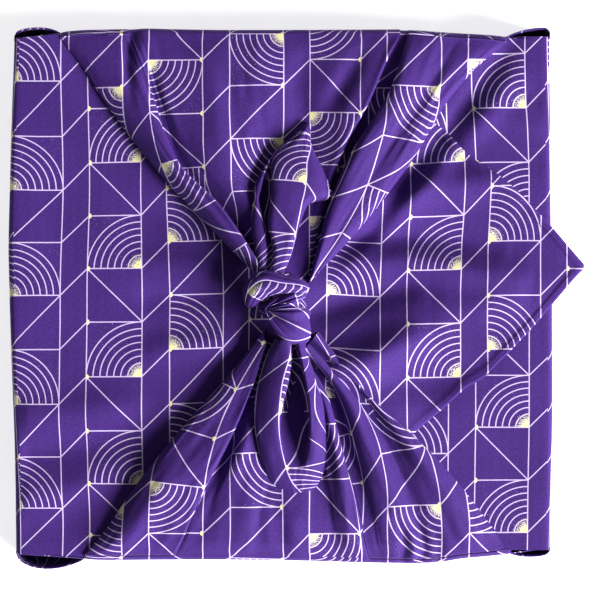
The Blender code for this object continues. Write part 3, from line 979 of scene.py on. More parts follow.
NORTH_RAILS = (
    Rail((-8, 139, 1.0), (-8, 106, 1.0), (-8, 77, 1.0), (-5, 48, 1.0), (-3, 14, 3)),
    Rail((-56, 141, 1.0), (-42, 106, 1.0), (-33, 77, 1.0), (-20, 49, 1.0), (-6, 13.4, 3)),
    Rail((-98, 142, 0.7), (-76, 108, 0.7), (-57, 79, 0.7), (-35, 49, 0.8), (-9, 13, 3)),
    Rail((-119, 144.6, 0.4), (-93, 106, 0.4), (-68.5, 73, 0.5), (-41.5, 43.5, 0.8), (-10, 10, 4)),
    Rail((-122.6, 145.4, 0.7), (-97.6, 105, 1.2), (-72.6, 72, 2.6), (-45.2, 42.5, 4.2),
         (-12, 8.5, 7)),
    Rail((-119, 146.4, 1.4), (-95, 106, 3.4), (-70.8, 73, 6.8), (-43.4, 43.6, 9), (-11.6, 9.4, 12)),
    Rail((-108, 147.2, 2.0), (-86, 108, 5.4), (-65.5, 75, 10.6), (-40, 46.2, 12.6),
         (-10.4, 10.6, 14)),
    Rail((-94, 147.4, 2.2), (-77, 107.5, 5.8), (-60, 74.4, 11.6), (-36, 48.4, 13.6),
         (-9, 11.4, 14)),
    Rail((-86, 147.6, 2.4), (-71, 106, 5.4), (-54.6, 71.6, 10.4), (-32.4, 48.8, 12.4),
         (-7.8, 12, 12)),
    Rail((-83, 147.4, 2.2), (-69, 105.4, 5.2), (-57.4, 71.4, 1.2), (-35, 49, 1.2), (-8.6, 12.2, 5)),
    Rail((-79.6, 147.6, 2.2), (-66, 105.2, 4.8), (-53.6, 70.6, 1.4), (-31.2, 47.4, 1.2),
         (-6.9, 12.4, 5)),
    Rail((-73, 147.9, 2.4), (-61, 105, 6.0), (-46.4, 71.4, 6.8), (-25, 47, 6.2), (-6, 12.6, 7)),
    Rail((-60, 147.5, 2.3), (-48, 107, 6.8), (-33, 74, 10.8), (-15.8, 47.2, 10.2), (-4.8, 13, 9)),
    Rail((-34, 147.1, 2.1), (-27, 109, 6.6), (-18, 77, 8.6), (-9.8, 48.5, 2.8), (-3, 13.4, 9)),
    Rail((-20, 147.1, 2.2), (-16, 110, 5.6), (-11, 78.5, 5.0), (-6, 49.4, 2.4), (-1.6, 13.4, 9)),
    Rail((-6, 147.1, 2.2), (-5, 111, 4.0), (-4, 80, 3.0), (-2, 50, 2.6), (0, 13.4, 9)),
    Rail((22, 147.2, 2.2), (17, 112.5, 3.0), (12, 82.5, 3.0), (8, 51, 2.8), (4, 12.4, 8)),
    Rail((48, 147.3, 2.6), (38, 113, 7.0), (27, 83, 6.4), (17.5, 51.4, 4.6), (9, 9.4, 8)),
    Rail((63, 147.4, 2.4), (48.6, 111.4, 8.4), (33.6, 82, 8.4), (22.4, 50.6, 6.8),
         (12.6, 6.8, 7.5)),
    Rail((66, 147.4, 2.2), (51, 111, 7.0), (35.9, 81.4, 7.2), (24.8, 50.2, 5.2), (14, 6.6, 6)),
    Rail((64.4, 147, 1.4), (47.6, 110.4, 1.3), (32.2, 80.8, 1.2), (23.2, 49.8, 1.2),
         (13.6, 6.4, 5)),
    Rail((72, 146.8, 1.4), (62.4, 110.4, 1.2), (43.8, 80.4, 1.2), (27.6, 49.4, 1.2),
         (15.2, 6.4, 5)),
    Rail((70, 147, 2.6), (58.4, 111, 6.6), (39.4, 80.8, 8.8), (26.2, 49.4, 8.0), (15.2, 6.6, 8)),
    Rail((74, 146.9, 3.8), (62.6, 110.6, 9.4), (43, 80.4, 12), (28.6, 48.4, 12), (15.8, 7, 12)),
    Rail((84, 146.2, 3.6), (70, 108.4, 8.2), (49.5, 78, 11.2), (32.4, 46.4, 12), (16.6, 7.8, 12)),
    Rail((95, 145.4, 2.7), (75.5, 105.5, 5.4), (56.5, 75, 8.4), (36.4, 43.6, 10.4),
         (17.4, 8.8, 10.5)),
    Rail((105, 144.9, 2.5), (81, 105.8, 5.8), (61.6, 74, 8.6), (39.4, 41.6, 10.6),
         (18.2, 9.6, 10.5)),
    Rail((115.6, 144.3, 2.2), (87, 106.6, 6.0), (67, 73.6, 8.4), (42.4, 39.6, 10),
         (19.2, 10.6, 9.6)),
    Rail((122.4, 143.6, 1.4), (91.6, 108, 4.8), (70.8, 73.6, 6.4), (44.2, 38.8, 7),
         (20.4, 11.8, 7.4)),
    Rail((125.4, 143.0, 0.6), (93.6, 108.6, 1.2), (72.4, 73.4, 1.6), (45, 38.2, 2.2),
         (21, 12.2, 5)),
    Rail((121, 142, 0.3), (89, 106.4, 0.35), (68.4, 72, 0.4), (42, 38, 0.6), (18, 11, 3.6)),
    Rail((102, 140, 0.6), (78, 103, 0.6), (55, 70, 0.7), (33, 39, 0.7), (14, 11, 3)),
    Rail((54, 140, 0.9), (42, 104, 0.9), (30, 72, 0.9), (19, 42, 0.9), (9, 10, 3)),
    Rail((6, 139, 0.9), (5, 105, 0.9), (4, 75, 0.9), (4, 46, 0.9), (3, 12, 3)),
)

SOUTH_RAILS = (
    Rail((6, -141, 1.0), (5, -110, 1.0), (4, -82, 1.0), (4, -54, 1.0), (2, -30, 3)),
    Rail((-40, -141, 1.0), (-30, -110, 1.0), (-20, -81, 1.0), (-11, -53, 1.0), (-2, -28, 3)),
    Rail((-86, -142, 0.7), (-64, -112, 0.7), (-42, -80, 0.7), (-23, -50, 0.8), (-5, -24, 3)),
    Rail((-105, -145.6, 0.4), (-81, -112.5, 0.5), (-55.5, -79.5, 0.6), (-29.5, -49.5, 0.9),
         (-7, -20.6, 4)),
    Rail((-109, -146.4, 0.8), (-85.4, -111.4, 1.8), (-59.6, -78.2, 3.0), (-33.6, -48.8, 3.6),
         (-9, -18.6, 6)),
    Rail((-106.4, -146.9, 1.6), (-83.6, -112.2, 4.2), (-58.2, -79.4, 7.4), (-32.6, -50, 7.8),
         (-9, -19.8, 9.4)),
    Rail((-99, -147.2, 2.4), (-77.5, -113.4, 6.0), (-53.8, -81.4, 9.0), (-29.2, -52, 9.2),
         (-9.2, -22.4, 10.6)),
    Rail((-86, -147.2, 2.7), (-67, -114.5, 6.2), (-44, -83, 9.6), (-23.6, -53.8, 10.0),
         (-8.8, -25, 11)),
    Rail((-70, -147, 2.6), (-54, -115, 5.4), (-34.6, -84.5, 10.0), (-19.6, -55, 10.6),
         (-8.4, -27.4, 11)),
    Rail((-60, -147, 2.3), (-46.4, -115, 4.6), (-29.6, -85, 9.2), (-17.4, -55.6, 10.2),
         (-7.8, -28.4, 9.6)),
    Rail((-58, -147, 2.0), (-45.6, -115, 3.4), (-31.8, -84.6, 1.2), (-19.8, -56, 1.2),
         (-8.6, -29, 5)),
    Rail((-50, -146.9, 2.0), (-40, -114.6, 3.4), (-27, -84, 1.6), (-16.4, -56, 1.2),
         (-7.2, -30, 5)),
    Rail((-43, -146.9, 2.5), (-34, -114.6, 4.8), (-22, -84.4, 8.0), (-13.4, -56.4, 3.4),
         (-6, -30.2, 6)),
    Rail((-24, -147, 2.5), (-20, -115.6, 6.0), (-15.6, -86, 6.2), (-8, -56.6, 2.6),
         (-3.6, -30.5, 7)),
    Rail((-14, -147.1, 2.3), (-12, -116, 4.8), (-7, -87, 3.2), (-2, -57.6, 2.2), (-1.4, -30.7, 7)),
    Rail((-4, -147.2, 2.1), (-4, -116.6, 3.4), (0, -88, 2.8), (2, -58, 2.4), (0.6, -30.8, 7)),
    Rail((15, -147.6, 2.2), (12, -117, 4.2), (12, -88, 3.0), (9, -58, 2.4), (4, -31, 7)),
    Rail((28, -148, 1.6), (24, -118, 1.8), (20.5, -88, 1.6), (15, -57, 1.5), (6, -31.2, 5)),
    Rail((34, -148.2, 1.8), (29.6, -117.8, 3.6), (24.8, -87.5, 4.6), (18.6, -56.6, 5),
         (7.6, -31.2, 9)),
    Rail((41, -148.4, 2.6), (35.4, -117.4, 7), (29.8, -87, 9.8), (22.4, -56, 11.4), (9, -31, 13)),
    Rail((47, -148.5, 2.2), (41, -117, 4.6), (34, -86.4, 6.6), (26, -55.6, 8), (10.2, -30.9, 10)),
    Rail((48.6, -148.6, 1.5), (42, -116.6, 1.3), (32.6, -86, 1.2), (24.4, -55.4, 1.2),
         (10.2, -30.7, 5)),
    Rail((54, -148.7, 1.6), (48, -116.2, 1.4), (39, -85.2, 1.2), (29.6, -54.8, 1.2),
         (11.4, -30.4, 5)),
    Rail((58, -148.8, 2.2), (51, -115.6, 3.6), (40.8, -84.6, 4.8), (30.8, -54.2, 6.2),
         (12, -30, 10)),
    Rail((66, -149, 2.8), (58.5, -114.6, 6.4), (46.6, -82.6, 9.4), (33.2, -53, 11),
         (13, -29.4, 13)),
    Rail((73, -149.1, 2.2), (64.5, -113.6, 4.6), (51.6, -81, 7.2), (36, -52, 8.6),
         (14.4, -28.2, 10.5)),
    Rail((80, -149.2, 1.2), (70, -112.5, 1.6), (56.2, -80.2, 1.5), (38.6, -51.4, 2),
         (15.4, -27, 6.6)),
    Rail((88, -148.4, 1.7), (76, -111.5, 2.2), (60.6, -79.4, 2.2), (41, -51, 3.4),
         (16.4, -25.8, 8.6)),
    Rail((99, -146.4, 2.5), (84, -110, 5.2), (66, -78.6, 7), (43.2, -51.2, 8), (17.6, -24.2, 11)),
    Rail((113, -145.2, 1.9), (92.4, -108, 4.6), (71.4, -78.6, 6.4), (46, -52.6, 7),
         (19, -22.4, 9.4)),
    Rail((125, -144, 1.1), (98.8, -106.8, 2.6), (75, -79.8, 4), (48, -54.6, 4.6),
         (20.4, -20.8, 6.4)),
    Rail((127.8, -143.6, 0.6), (100.4, -106.4, 1.0), (76.4, -80, 1.6), (48.8, -55.2, 2.2),
         (21, -20.2, 5)),
    Rail((123.6, -142.6, 0.3), (96.6, -106, 0.35), (72.4, -79.6, 0.45), (45, -53.6, 0.7),
         (18.6, -21, 3.4)),
    Rail((104, -140, 0.6), (82, -104, 0.6), (60, -76, 0.7), (35, -50, 0.7), (15, -23, 3)),
    Rail((60, -140, 0.9), (48, -106, 0.9), (36, -78, 0.9), (23, -52, 0.9), (10, -26, 3)),
    Rail((16, -141, 0.9), (14, -110, 0.9), (12, -82, 0.9), (9, -54, 0.9), (6, -29, 3)),
)

NORTH_CREASES = (
    Crease(((-81.0, 149.0), (-84.0, 137.0), (-84.5, 122.0), (-82.0, 106.0)), 2.0, 2.6),
    Crease(((-75.5, 146.0), (-77.5, 132.0), (-77.0, 118.0)), -1.2, 3.4),
    Crease(((-70.0, 132.0), (-69.0, 112.0), (-63.0, 94.0)), 1.6, 4.0),
    Crease(((-112.0, 128.0), (-96.0, 112.0), (-84.0, 92.0)), 0.6, 4.0),
    Crease(((-44.0, 140.0), (-38.0, 112.0), (-33.0, 88.0), (-24.0, 62.0)), -0.8, 6.0),
    Crease(((-30.0, 138.0), (-27.0, 108.0), (-25.0, 84.0), (-20.0, 58.0)), 1.4, 6.0),
    Crease(((-12.0, 140.0), (-10.0, 118.0), (-8.0, 98.0)), -1.2, 7.0),
    Crease(((14.0, 136.0), (10.0, 114.0), (12.0, 90.0)), 1.6, 6.0),
    Crease(((30.0, 132.0), (27.0, 112.0), (22.0, 94.0)), -0.8, 5.0),
    Crease(((50.0, 140.0), (36.0, 118.0), (22.0, 98.0)), 2.6, 5.0),
    Crease(((104.0, 128.0), (92.0, 116.0), (82.0, 100.0)), 1.0, 3.4),
    Crease(((90.0, 128.0), (78.0, 112.0), (64.0, 90.0)), 0.9, 3.0),
)

SOUTH_CREASES = (
    Crease(((66.0, -150.0), (68.0, -140.0), (66.5, -130.0), (62.0, -122.0)), 1.8, 2.6),
    Crease(((76.0, -150.0), (79.0, -141.0), (77.0, -131.0), (72.0, -122.0)), 2.0, 2.8),
    Crease(((71.5, -150.0), (74.0, -140.0), (71.5, -129.0)), -1.5, 2.6),
    Crease(((86.0, -148.0), (88.0, -138.0), (84.0, -126.0)), 1.5, 3.2),
    Crease(((-34.0, -142.0), (-30.0, -124.0), (-26.0, -104.0), (-20.0, -86.0)), 0.6, 5.0),
    Crease(((-14.0, -144.0), (-13.0, -128.0), (-11.0, -112.0)), 1.2, 3.2),
    Crease(((2.0, -146.0), (1.0, -134.0), (1.0, -122.0)), 1.0, 3.0),
    Crease(((10.0, -146.0), (8.0, -132.0), (8.0, -116.0)), -1.2, 5.0),
    Crease(((-74.0, -140.0), (-64.0, -122.0), (-50.0, -100.0)), 0.6, 4.4),
    Crease(((-92.0, -142.0), (-80.0, -126.0), (-66.0, -106.0)), -0.7, 4.0),
    Crease(((98.0, -140.0), (92.0, -126.0), (84.0, -112.0)), 1.0, 3.6),
    Crease(((110.0, -134.0), (98.0, -118.0), (88.0, -104.0)), -0.6, 3.6),
)


# ---------------------------------------------------------------- corner pockets


@dataclass
class Ear:
    """The open fold at one corner: the outer wall's free edge and the pocket behind it.

    Attributes:
        outer: the outer wall's face in plan, from the parcel's corner to the gathered flap.
        inner: the folded edge of the flap behind it, in plan.
        rim: height of the outer wall's free edge.
        inner_top: height of the folded edge behind.
        floor: how deep the pocket is left open, as a height.
        sample: the column whose way down the pocket the print follows.
    """

    side: Side
    outer: tuple[Plan, ...]
    inner: tuple[Plan, ...]
    rim: float
    inner_top: float
    columns: int = 22
    floor: float = 7.0
    sample: int = 8

    def face(self) -> np.ndarray:
        """Outer wall in plan."""
        return bspline(np.array(self.outer), np.linspace(0.0, 1.0, self.columns))

    def along(self) -> np.ndarray:
        """Flat coordinate along the wall, which runs round the corner with the cloth.

        Returns:
            One value for each column, which meets the gathered wall's own.
        """
        face = self.face()
        run = arc_length(face)
        if face[0, 0] < 0.0:
            return run[-1] - run - face[-1, 0]
        return -face[0, 0] - run

    def top(self) -> np.ndarray:
        """The rim, where the wall's cloth folds back down inside.

        Returns:
            Columns by 3.
        """
        face = self.face()
        inward = np.array((0.0, -self.side.value * 0.5))
        return np.column_stack([face + inward, np.full(len(face), self.rim)])

    def lining(self) -> Patch:
        """The inside of the pocket, from the rim down and up to the flap's folded edge.

        Returns:
            The lining's stretch of cloth.
        """
        face = self.face()
        share = np.linspace(0.0, 1.0, self.columns)
        inner = bspline(np.array(self.inner), share)
        way = np.array((0.0, -self.side.value))
        rows = [self.top()]
        down = ((0.9, self.rim - 0.2), (1.1, self.rim - 1.6), (1.2, 18.0), (1.4, self.floor))
        for inward, z in down:
            rows.append(np.column_stack([face + way * inward, np.full(self.columns, z)]))
        middle = 0.5 * (face + inner)
        rows.append(np.column_stack([middle, np.full(self.columns, self.floor - 1.5)]))
        edge = self.inner_top
        up = ((0.2, self.floor), (0.1, 18.0), (0.1, edge - 1.4), (-0.5, edge - 0.15))
        for outward, z in up:
            rows.append(np.column_stack([inner - way * outward, np.full(self.columns, z)]))
        points = np.stack(rows)
        drop = arc_length(points[:, self.sample])
        u = np.repeat(self.along()[None], len(rows), axis=0)
        climbed = np.repeat(drop[:, None], self.columns, axis=1)
        v = self.side.value * (BASE_Y + WALL_HEIGHT + climbed)
        return Patch(points, np.stack([u, v], axis=-1), UP)


NORTH_WEST_EAR = Ear(
    Side.NORTH,
    ((-147.9, 141.4), (-148.0, 144.6), (-146.0, 147.0), (-141.0, 148.2), (-134.0, 148.8),
     (-127.0, 147.9), (-122.6, 145.6)),
    ((-148.0, 141.4), (-146.6, 142.4), (-140.0, 143.0), (-132.0, 143.8), (-122.6, 145.2)),
    27.8, WEST_TOP,
)
NORTH_EAST_EAR = Ear(
    Side.NORTH,
    ((125.0, 143.4), (130.0, 146.0), (138.0, 147.8), (145.0, 148.9), (148.6, 148.0),
     (149.4, 145.8), (149.1, 143.0)),
    ((125.0, 142.6), (132.0, 142.4), (140.0, 143.0), (146.0, 143.6), (149.0, 143.0)),
    27.0, EAST_TOP,
)
SOUTH_WEST_EAR = Ear(
    Side.SOUTH,
    ((-147.0, -143.0), (-146.6, -145.8), (-143.0, -149.6), (-134.0, -152.6), (-122.0, -151.9),
     (-112.0, -148.6), (-109.2, -146.6)),
    ((-147.0, -143.0), (-144.0, -143.9), (-132.0, -144.4), (-120.0, -145.2), (-109.2, -146.2)),
    27.6, WEST_TOP,
)
SOUTH_EAST_EAR = Ear(
    Side.SOUTH,
    ((127.6, -144.0), (133.0, -145.4), (140.0, -145.6), (146.0, -144.9), (149.0, -143.4),
     (149.4, -141.2)),
    ((127.6, -143.4), (134.0, -142.6), (141.0, -141.4), (146.0, -140.9), (149.2, -141.0)),
    26.8, EAST_TOP,
)

def gathered_wall(flap: GatheredFlap, west: Ear, east: Ear, seed: int) -> Wall:
    """The wall under a gathered flap, with the corner's outer walls at both ends.

    Args:
        flap: the gathered flap.
        west: the open fold at its west end.
        east: the open fold at its east end.
        seed: field number of the wall's slack.

    Returns:
        The wall.
    """
    sign = flap.side.value
    plan, turned = flap.wall_columns()
    foot = sign * BASE_Y
    return Wall(
        face=np.concatenate([west.face()[:-1], plan, east.face()[1:]]),
        top=np.concatenate([west.top()[:-1], turned, east.top()[1:]]),
        inward=(0.0, -sign), facing=(0.0, sign, 0.0),
        flat_face=np.column_stack([
            np.concatenate([west.along()[:-1], -plan[:, 0], east.along()[1:]]),
            np.concatenate([
                np.full(west.columns - 1, foot), plan[:, 1], np.full(east.columns - 1, foot),
            ]),
        ]),
        climb=(0.0, sign), seed=seed, slack=0.45,
    )


# ---------------------------------------------------------------- tails and knot


@dataclass
class Tail:
    """A free tail beyond the knot: a leaf of cloth with rolled edges.

    Attributes:
        sections: cross-sections from the knot to the tip, each from its left edge to its
            right edge.
        start: the flat place of the tail's root.
        sign: which way the tail runs on the flat cloth.
        spine: the point of each section that the print follows.
        seed: number of the first field of the slack.
        slack: small waves, as (height, bumps across, bumps along).
        slack_across: how many units the bumps across are counted in.
        crispness: 0 for eased folds, 1 for sharp ones.
    """

    sections: tuple[tuple[Point, ...], ...]
    start: Plan
    sign: float
    spine: int
    seed: int
    rows: int = 76
    columns: int = 64
    slack: tuple[Point, ...] = ((0.45, 0.9, 5.0), (0.25, 2.3, 9.0))
    slack_across: float = 9.0
    crispness: float = 0.8

    def patch(self) -> Patch:
        """Lay the tail.

        Returns:
            The tail's stretch of cloth.
        """
        table = np.array(self.sections, dtype=float)
        rows = through(table, np.linspace(0.0, 1.0, self.rows))
        places = np.linspace(0.0, 1.0, self.columns)
        points = crisp(rows.transpose(1, 0, 2), places, self.crispness).transpose(1, 0, 2)
        u = np.repeat(places[None, :] * self.slack_across, self.rows, axis=0)
        v = np.repeat(np.linspace(0.0, 1.0, self.rows)[:, None], self.columns, axis=1)
        wave = sum(
            height * drift(u * across, v * along, self.seed + step)
            for step, (height, across, along) in enumerate(self.slack)
        )
        points[..., 2] += wave * ramp(v, 0.0, 0.1)
        steps = np.linalg.norm(np.diff(points, axis=1), axis=2)
        arc = np.concatenate([np.zeros((self.rows, 1)), np.cumsum(steps, axis=1)], axis=1)
        middle = int(self.spine / (table.shape[1] - 1) * (self.columns - 1))
        across = arc - arc[:, middle:middle + 1]
        down = arc_length(points[:, middle])
        flat = np.stack([
            self.start[0] - self.sign * across,
            self.start[1] + self.sign * np.repeat(down[:, None], self.columns, axis=1),
        ], axis=-1)
        edge = np.minimum(arc, arc[:, -1:] - arc)
        edge = np.minimum(edge, (down[-1] - down)[:, None] * 0.8 + 0.3)
        return Patch(points, flat, UP, edge)


UPPER_TAIL = (
    ((-12, 12, 40), (-11.4, 12.4, 44.5), (-9, 12.6, 45), (-7.6, 12.6, 43.4), (-6.6, 12.6, 43.6),
     (-5.4, 12.4, 46.5), (-2.6, 12, 47.2), (0.2, 11.6, 46.6), (1.4, 11.4, 43.5), (1, 11.2, 40)),
    ((-14, 24, 38.5), (-13.6, 24.4, 43.6), (-8.6, 25, 44.8), (-6, 25.4, 41), (-4.6, 25.2, 41),
     (-3.4, 24.8, 46.6), (0.8, 24.2, 47.6), (4.8, 23.4, 47), (6.2, 23, 41.6), (4.8, 22.8, 38)),
    ((-16.2, 36.8, 37.2), (-15.8, 37.4, 42.6), (-9.4, 38.2, 44), (-8, 38.2, 36.4), (-7.2, 38, 36.4),
     (-6.8, 37.8, 45.8), (1.4, 37.2, 47.2), (8.2, 36.6, 46.8), (10, 36.2, 40.6), (8.4, 36, 36.4)),
    ((-15.6, 50.2, 36.4), (-15.2, 50.6, 41.8), (-12, 51, 43), (-11.4, 51, 34.4), (-5.4, 51, 34.2),
     (-5.8, 51, 44.8), (3.4, 50.6, 46.4), (12.6, 49.6, 46), (15, 49.2, 39.6), (13, 49, 36)),
    ((-14.9, 57, 36), (-14.5, 57.6, 41), (-11, 58, 42), (-10.4, 58, 34.2), (-5, 58.4, 34),
     (-5.2, 58.6, 44), (5, 58.2, 45.6), (16.4, 56.4, 45.2), (22, 54.4, 43.4), (28.4, 53.2, 38)),
    ((-12.8, 64.6, 35.8), (-12.2, 65.2, 40.4), (-9, 66, 41.2), (-8.4, 66.2, 35), (-5.2, 66.8, 34.8),
     (-5.2, 66.8, 43), (6, 66.4, 44.6), (17.6, 65, 44.4), (22.4, 62.8, 42.8), (26.6, 60.6, 37.6)),
    ((-7.2, 73, 35.4), (-6.8, 73.6, 39.6), (-6, 74.2, 40.4), (-5.4, 74.4, 39.4), (-4.6, 74.4, 39.4),
     (-3.2, 74.4, 41.6), (6.4, 73.8, 43.4), (15.6, 72.8, 43), (19.6, 71.8, 41.6),
      (22.6, 70.8, 37.2)),
    ((-2, 80.8, 35.2), (-1.4, 81.2, 38.4), (-0.2, 81.6, 39.4), (1, 81.8, 39.8), (2.2, 82, 40.2),
     (4.2, 82, 40.8), (9, 81.6, 41.4), (13.6, 80.8, 41.2), (16.4, 80, 40), (18.4, 79, 36.6)),
    ((6.2, 87, 35), (6.8, 87.4, 37.4), (7.6, 87.8, 38.2), (8.4, 88, 38.4), (9.2, 88.2, 38.6),
     (10.4, 88.4, 38.8), (12.2, 88.2, 39), (14, 87.8, 38.8), (15.2, 87.2, 37.8), (16, 86.6, 35.8)),
    ((13.6, 94, 35), (13.9, 94.4, 36), (14.3, 94.7, 36.3), (14.6, 94.8, 36.4), (14.9, 94.9, 36.4),
     (15.2, 94.9, 36.4), (15.6, 94.8, 36.3), (16, 94.6, 36.1), (16.4, 94.2, 35.7),
      (16.8, 93.8, 35)),
)

LOWER_TAIL = (
    ((-3, -24, 40), (-2, -24.4, 44), (0.4, -24.6, 46.4), (4.6, -24.8, 46.6), (6, -25, 43),
     (7.6, -25, 43), (8.4, -24.8, 46), (10, -24.6, 46.4), (11.8, -24.2, 44.4), (13, -24, 40)),
    ((-8.4, -34, 39), (-7.6, -34.4, 43), (-2.4, -35, 46.2), (5.2, -35.4, 46.8), (6.8, -35.6, 38),
     (9.4, -35.6, 38), (10.4, -35.2, 46), (12.4, -35, 47), (14.4, -34.6, 44.4), (15.6, -34.4, 39)),
    ((-12.2, -46.4, 38), (-11.4, -46.8, 41.6), (-6, -47.4, 45.4), (3.6, -48, 47), (5, -48.4, 34.4),
     (13.6, -48, 34.4), (13, -47.6, 46.6), (15, -47.2, 48), (18, -46.6, 45), (19.4, -46.2, 38.6)),
    ((-14.6, -58, 37.6), (-13.8, -58.4, 40.8), (-7.6, -59.2, 44.2), (0.8, -60, 46),
     (2.2, -60.4, 33.4),
     (15.4, -60, 33.2), (14.6, -59.4, 46.6), (17.4, -59, 48.2), (21.6, -58.4, 45), (23.6, -58, 38)),
    ((-14.6, -70.6, 37.4), (-13.8, -71, 40.4), (-8.4, -71.6, 43), (-0.6, -72.2, 44),
     (0.8, -72.6, 34.4),
     (16, -72.6, 33.6), (15.4, -72, 45.4), (18, -72, 46.8), (22.6, -71.6, 44), (25, -71.2, 37.4)),
    ((-13, -82.6, 37.2), (-12.2, -83, 39.8), (-7, -83.6, 42), (0, -84.6, 42.4), (2.4, -85.6, 38.4),
     (12.4, -86.4, 36.4), (14.6, -85.4, 42.8), (18, -84.8, 44.2), (22.6, -84, 42),
      (25.2, -83.4, 37)),
    ((-10.4, -93.4, 36.8), (-9.6, -93.8, 38.8), (-5, -94.6, 40.6), (2, -95.4, 41.2), (6, -95.6, 41),
     (9.6, -95.4, 41), (13.4, -94.8, 41.8), (17, -94.2, 42), (21.6, -93.4, 40),
      (24.6, -92.8, 36.6)),
    ((-6.6, -101.6, 36.2), (-5.8, -102, 37.8), (-2, -102.8, 39), (2.6, -103.4, 39.4),
     (6, -103.4, 39.4),
     (9, -103, 39.4), (12.6, -102.4, 39.6), (16, -101.8, 39.4), (20, -101, 38), (22.6, -100.4, 36)),
    ((0, -110.4, 35.8), (0.8, -110.6, 36.6), (3, -111, 37), (5.4, -111, 37.2), (7.6, -110.6, 37.2),
     (10, -110, 37.2), (12.6, -109.2, 37.1), (15.2, -108.2, 36.9), (17.4, -107.2, 36.4),
      (19.2, -106.2, 35.6)),
)


class Stop(NamedTuple):
    """One stop of a knot strand: its centre, its half width and its half depth."""

    x: float
    y: float
    z: float
    wide: float
    deep: float


@dataclass
class Strand:
    """A bundle of gathered cloth in the knot, with folds that run along it.

    Attributes:
        stops: the way it runs, and how thick it is.
        folds: how many folds run along it.
        fold_depth: their depth, as a share of the bundle's radius.
        twist: how far the folds wind round it from end to end, in radians.
        start: the flat place where its print starts.
        seed: field number of its unevenness.
        GATHER: how much wider the gathered cloth is than the bundle's outline.
    """

    stops: tuple[Stop, ...]
    folds: int
    fold_depth: float
    twist: float
    start: Plan
    seed: int
    rows: int = 26
    columns: int = 40

    GATHER = 2.2

    def patch(self) -> Patch:
        """Sweep the bundle along its stops.

        Returns:
            The bundle's stretch of cloth.
        """
        table = np.array(self.stops, dtype=float)
        path = through(table, np.linspace(0.0, 1.0, self.rows))
        heading = np.gradient(path[:, :3], axis=0)
        heading /= np.linalg.norm(heading, axis=1)[:, None]
        turns = np.linspace(0.0, 2.0 * math.pi, self.columns)
        side = np.cross(heading[0], UP)
        along = np.linspace(0.0, 1.0, self.rows)
        rings = []
        for share, centre, direction in zip(along, path, heading):
            side = side - direction * np.dot(side, direction)
            side /= np.linalg.norm(side)
            lift = np.cross(side, direction)
            phase = self.folds * turns + self.twist * share
            place = np.cos(turns) * 2.2 + 5.0, np.sin(turns) * 2.2 + share * 1.6
            uneven = drift(*place, self.seed)
            valley = np.abs(np.sin(0.5 * phase + 0.9 * uneven))
            radius = 1.0 - self.fold_depth * (1.0 - valley) ** 1.6 + 0.05 * uneven
            ring = (
                centre[:3]
                + np.multiply.outer(radius * np.cos(turns) * centre[3], side)
                + np.multiply.outer(radius * np.sin(turns) * centre[4], lift)
            )
            rings.append(ring)
        points = np.stack(rings)
        around = self.GATHER * turns * float(np.mean(table[:, 3:]))
        down = arc_length(path[:, :3])
        flat = np.stack([
            self.start[0] + np.repeat(around[None, :], self.rows, axis=0),
            self.start[1] + np.repeat(down[:, None], self.columns, axis=1),
        ], axis=-1)
        return Patch(points, flat, UP)


KNOT = (
    Strand(
        stops=(Stop(-11, -5, 39, 5, 5), Stop(-2, -7, 41, 9, 6.4), Stop(6, -10, 41, 11, 6.4),
               Stop(11, -12, 40, 8, 5)),
        folds=6, fold_depth=0.2, twist=0.5, start=(77.0, 14.0), seed=43,
    ),
    Strand(
        stops=(Stop(-17.4, -5.4, 41, 2.4, 3), Stop(-16, -2.8, 43, 5, 5.4),
               Stop(-13.6, 1.8, 45.4, 7.2, 6.4), Stop(-8, 5.6, 47.4, 8, 6),
               Stop(1, 5, 48.4, 6, 5), Stop(9.4, 4.6, 47.2, 4.2, 4.6),
               Stop(14, 3.2, 44.4, 2.4, 3.4)),
        folds=9, fold_depth=0.15, twist=1.2, start=(139.0, 36.0), seed=44,
        rows=52, columns=110,
    ),
)


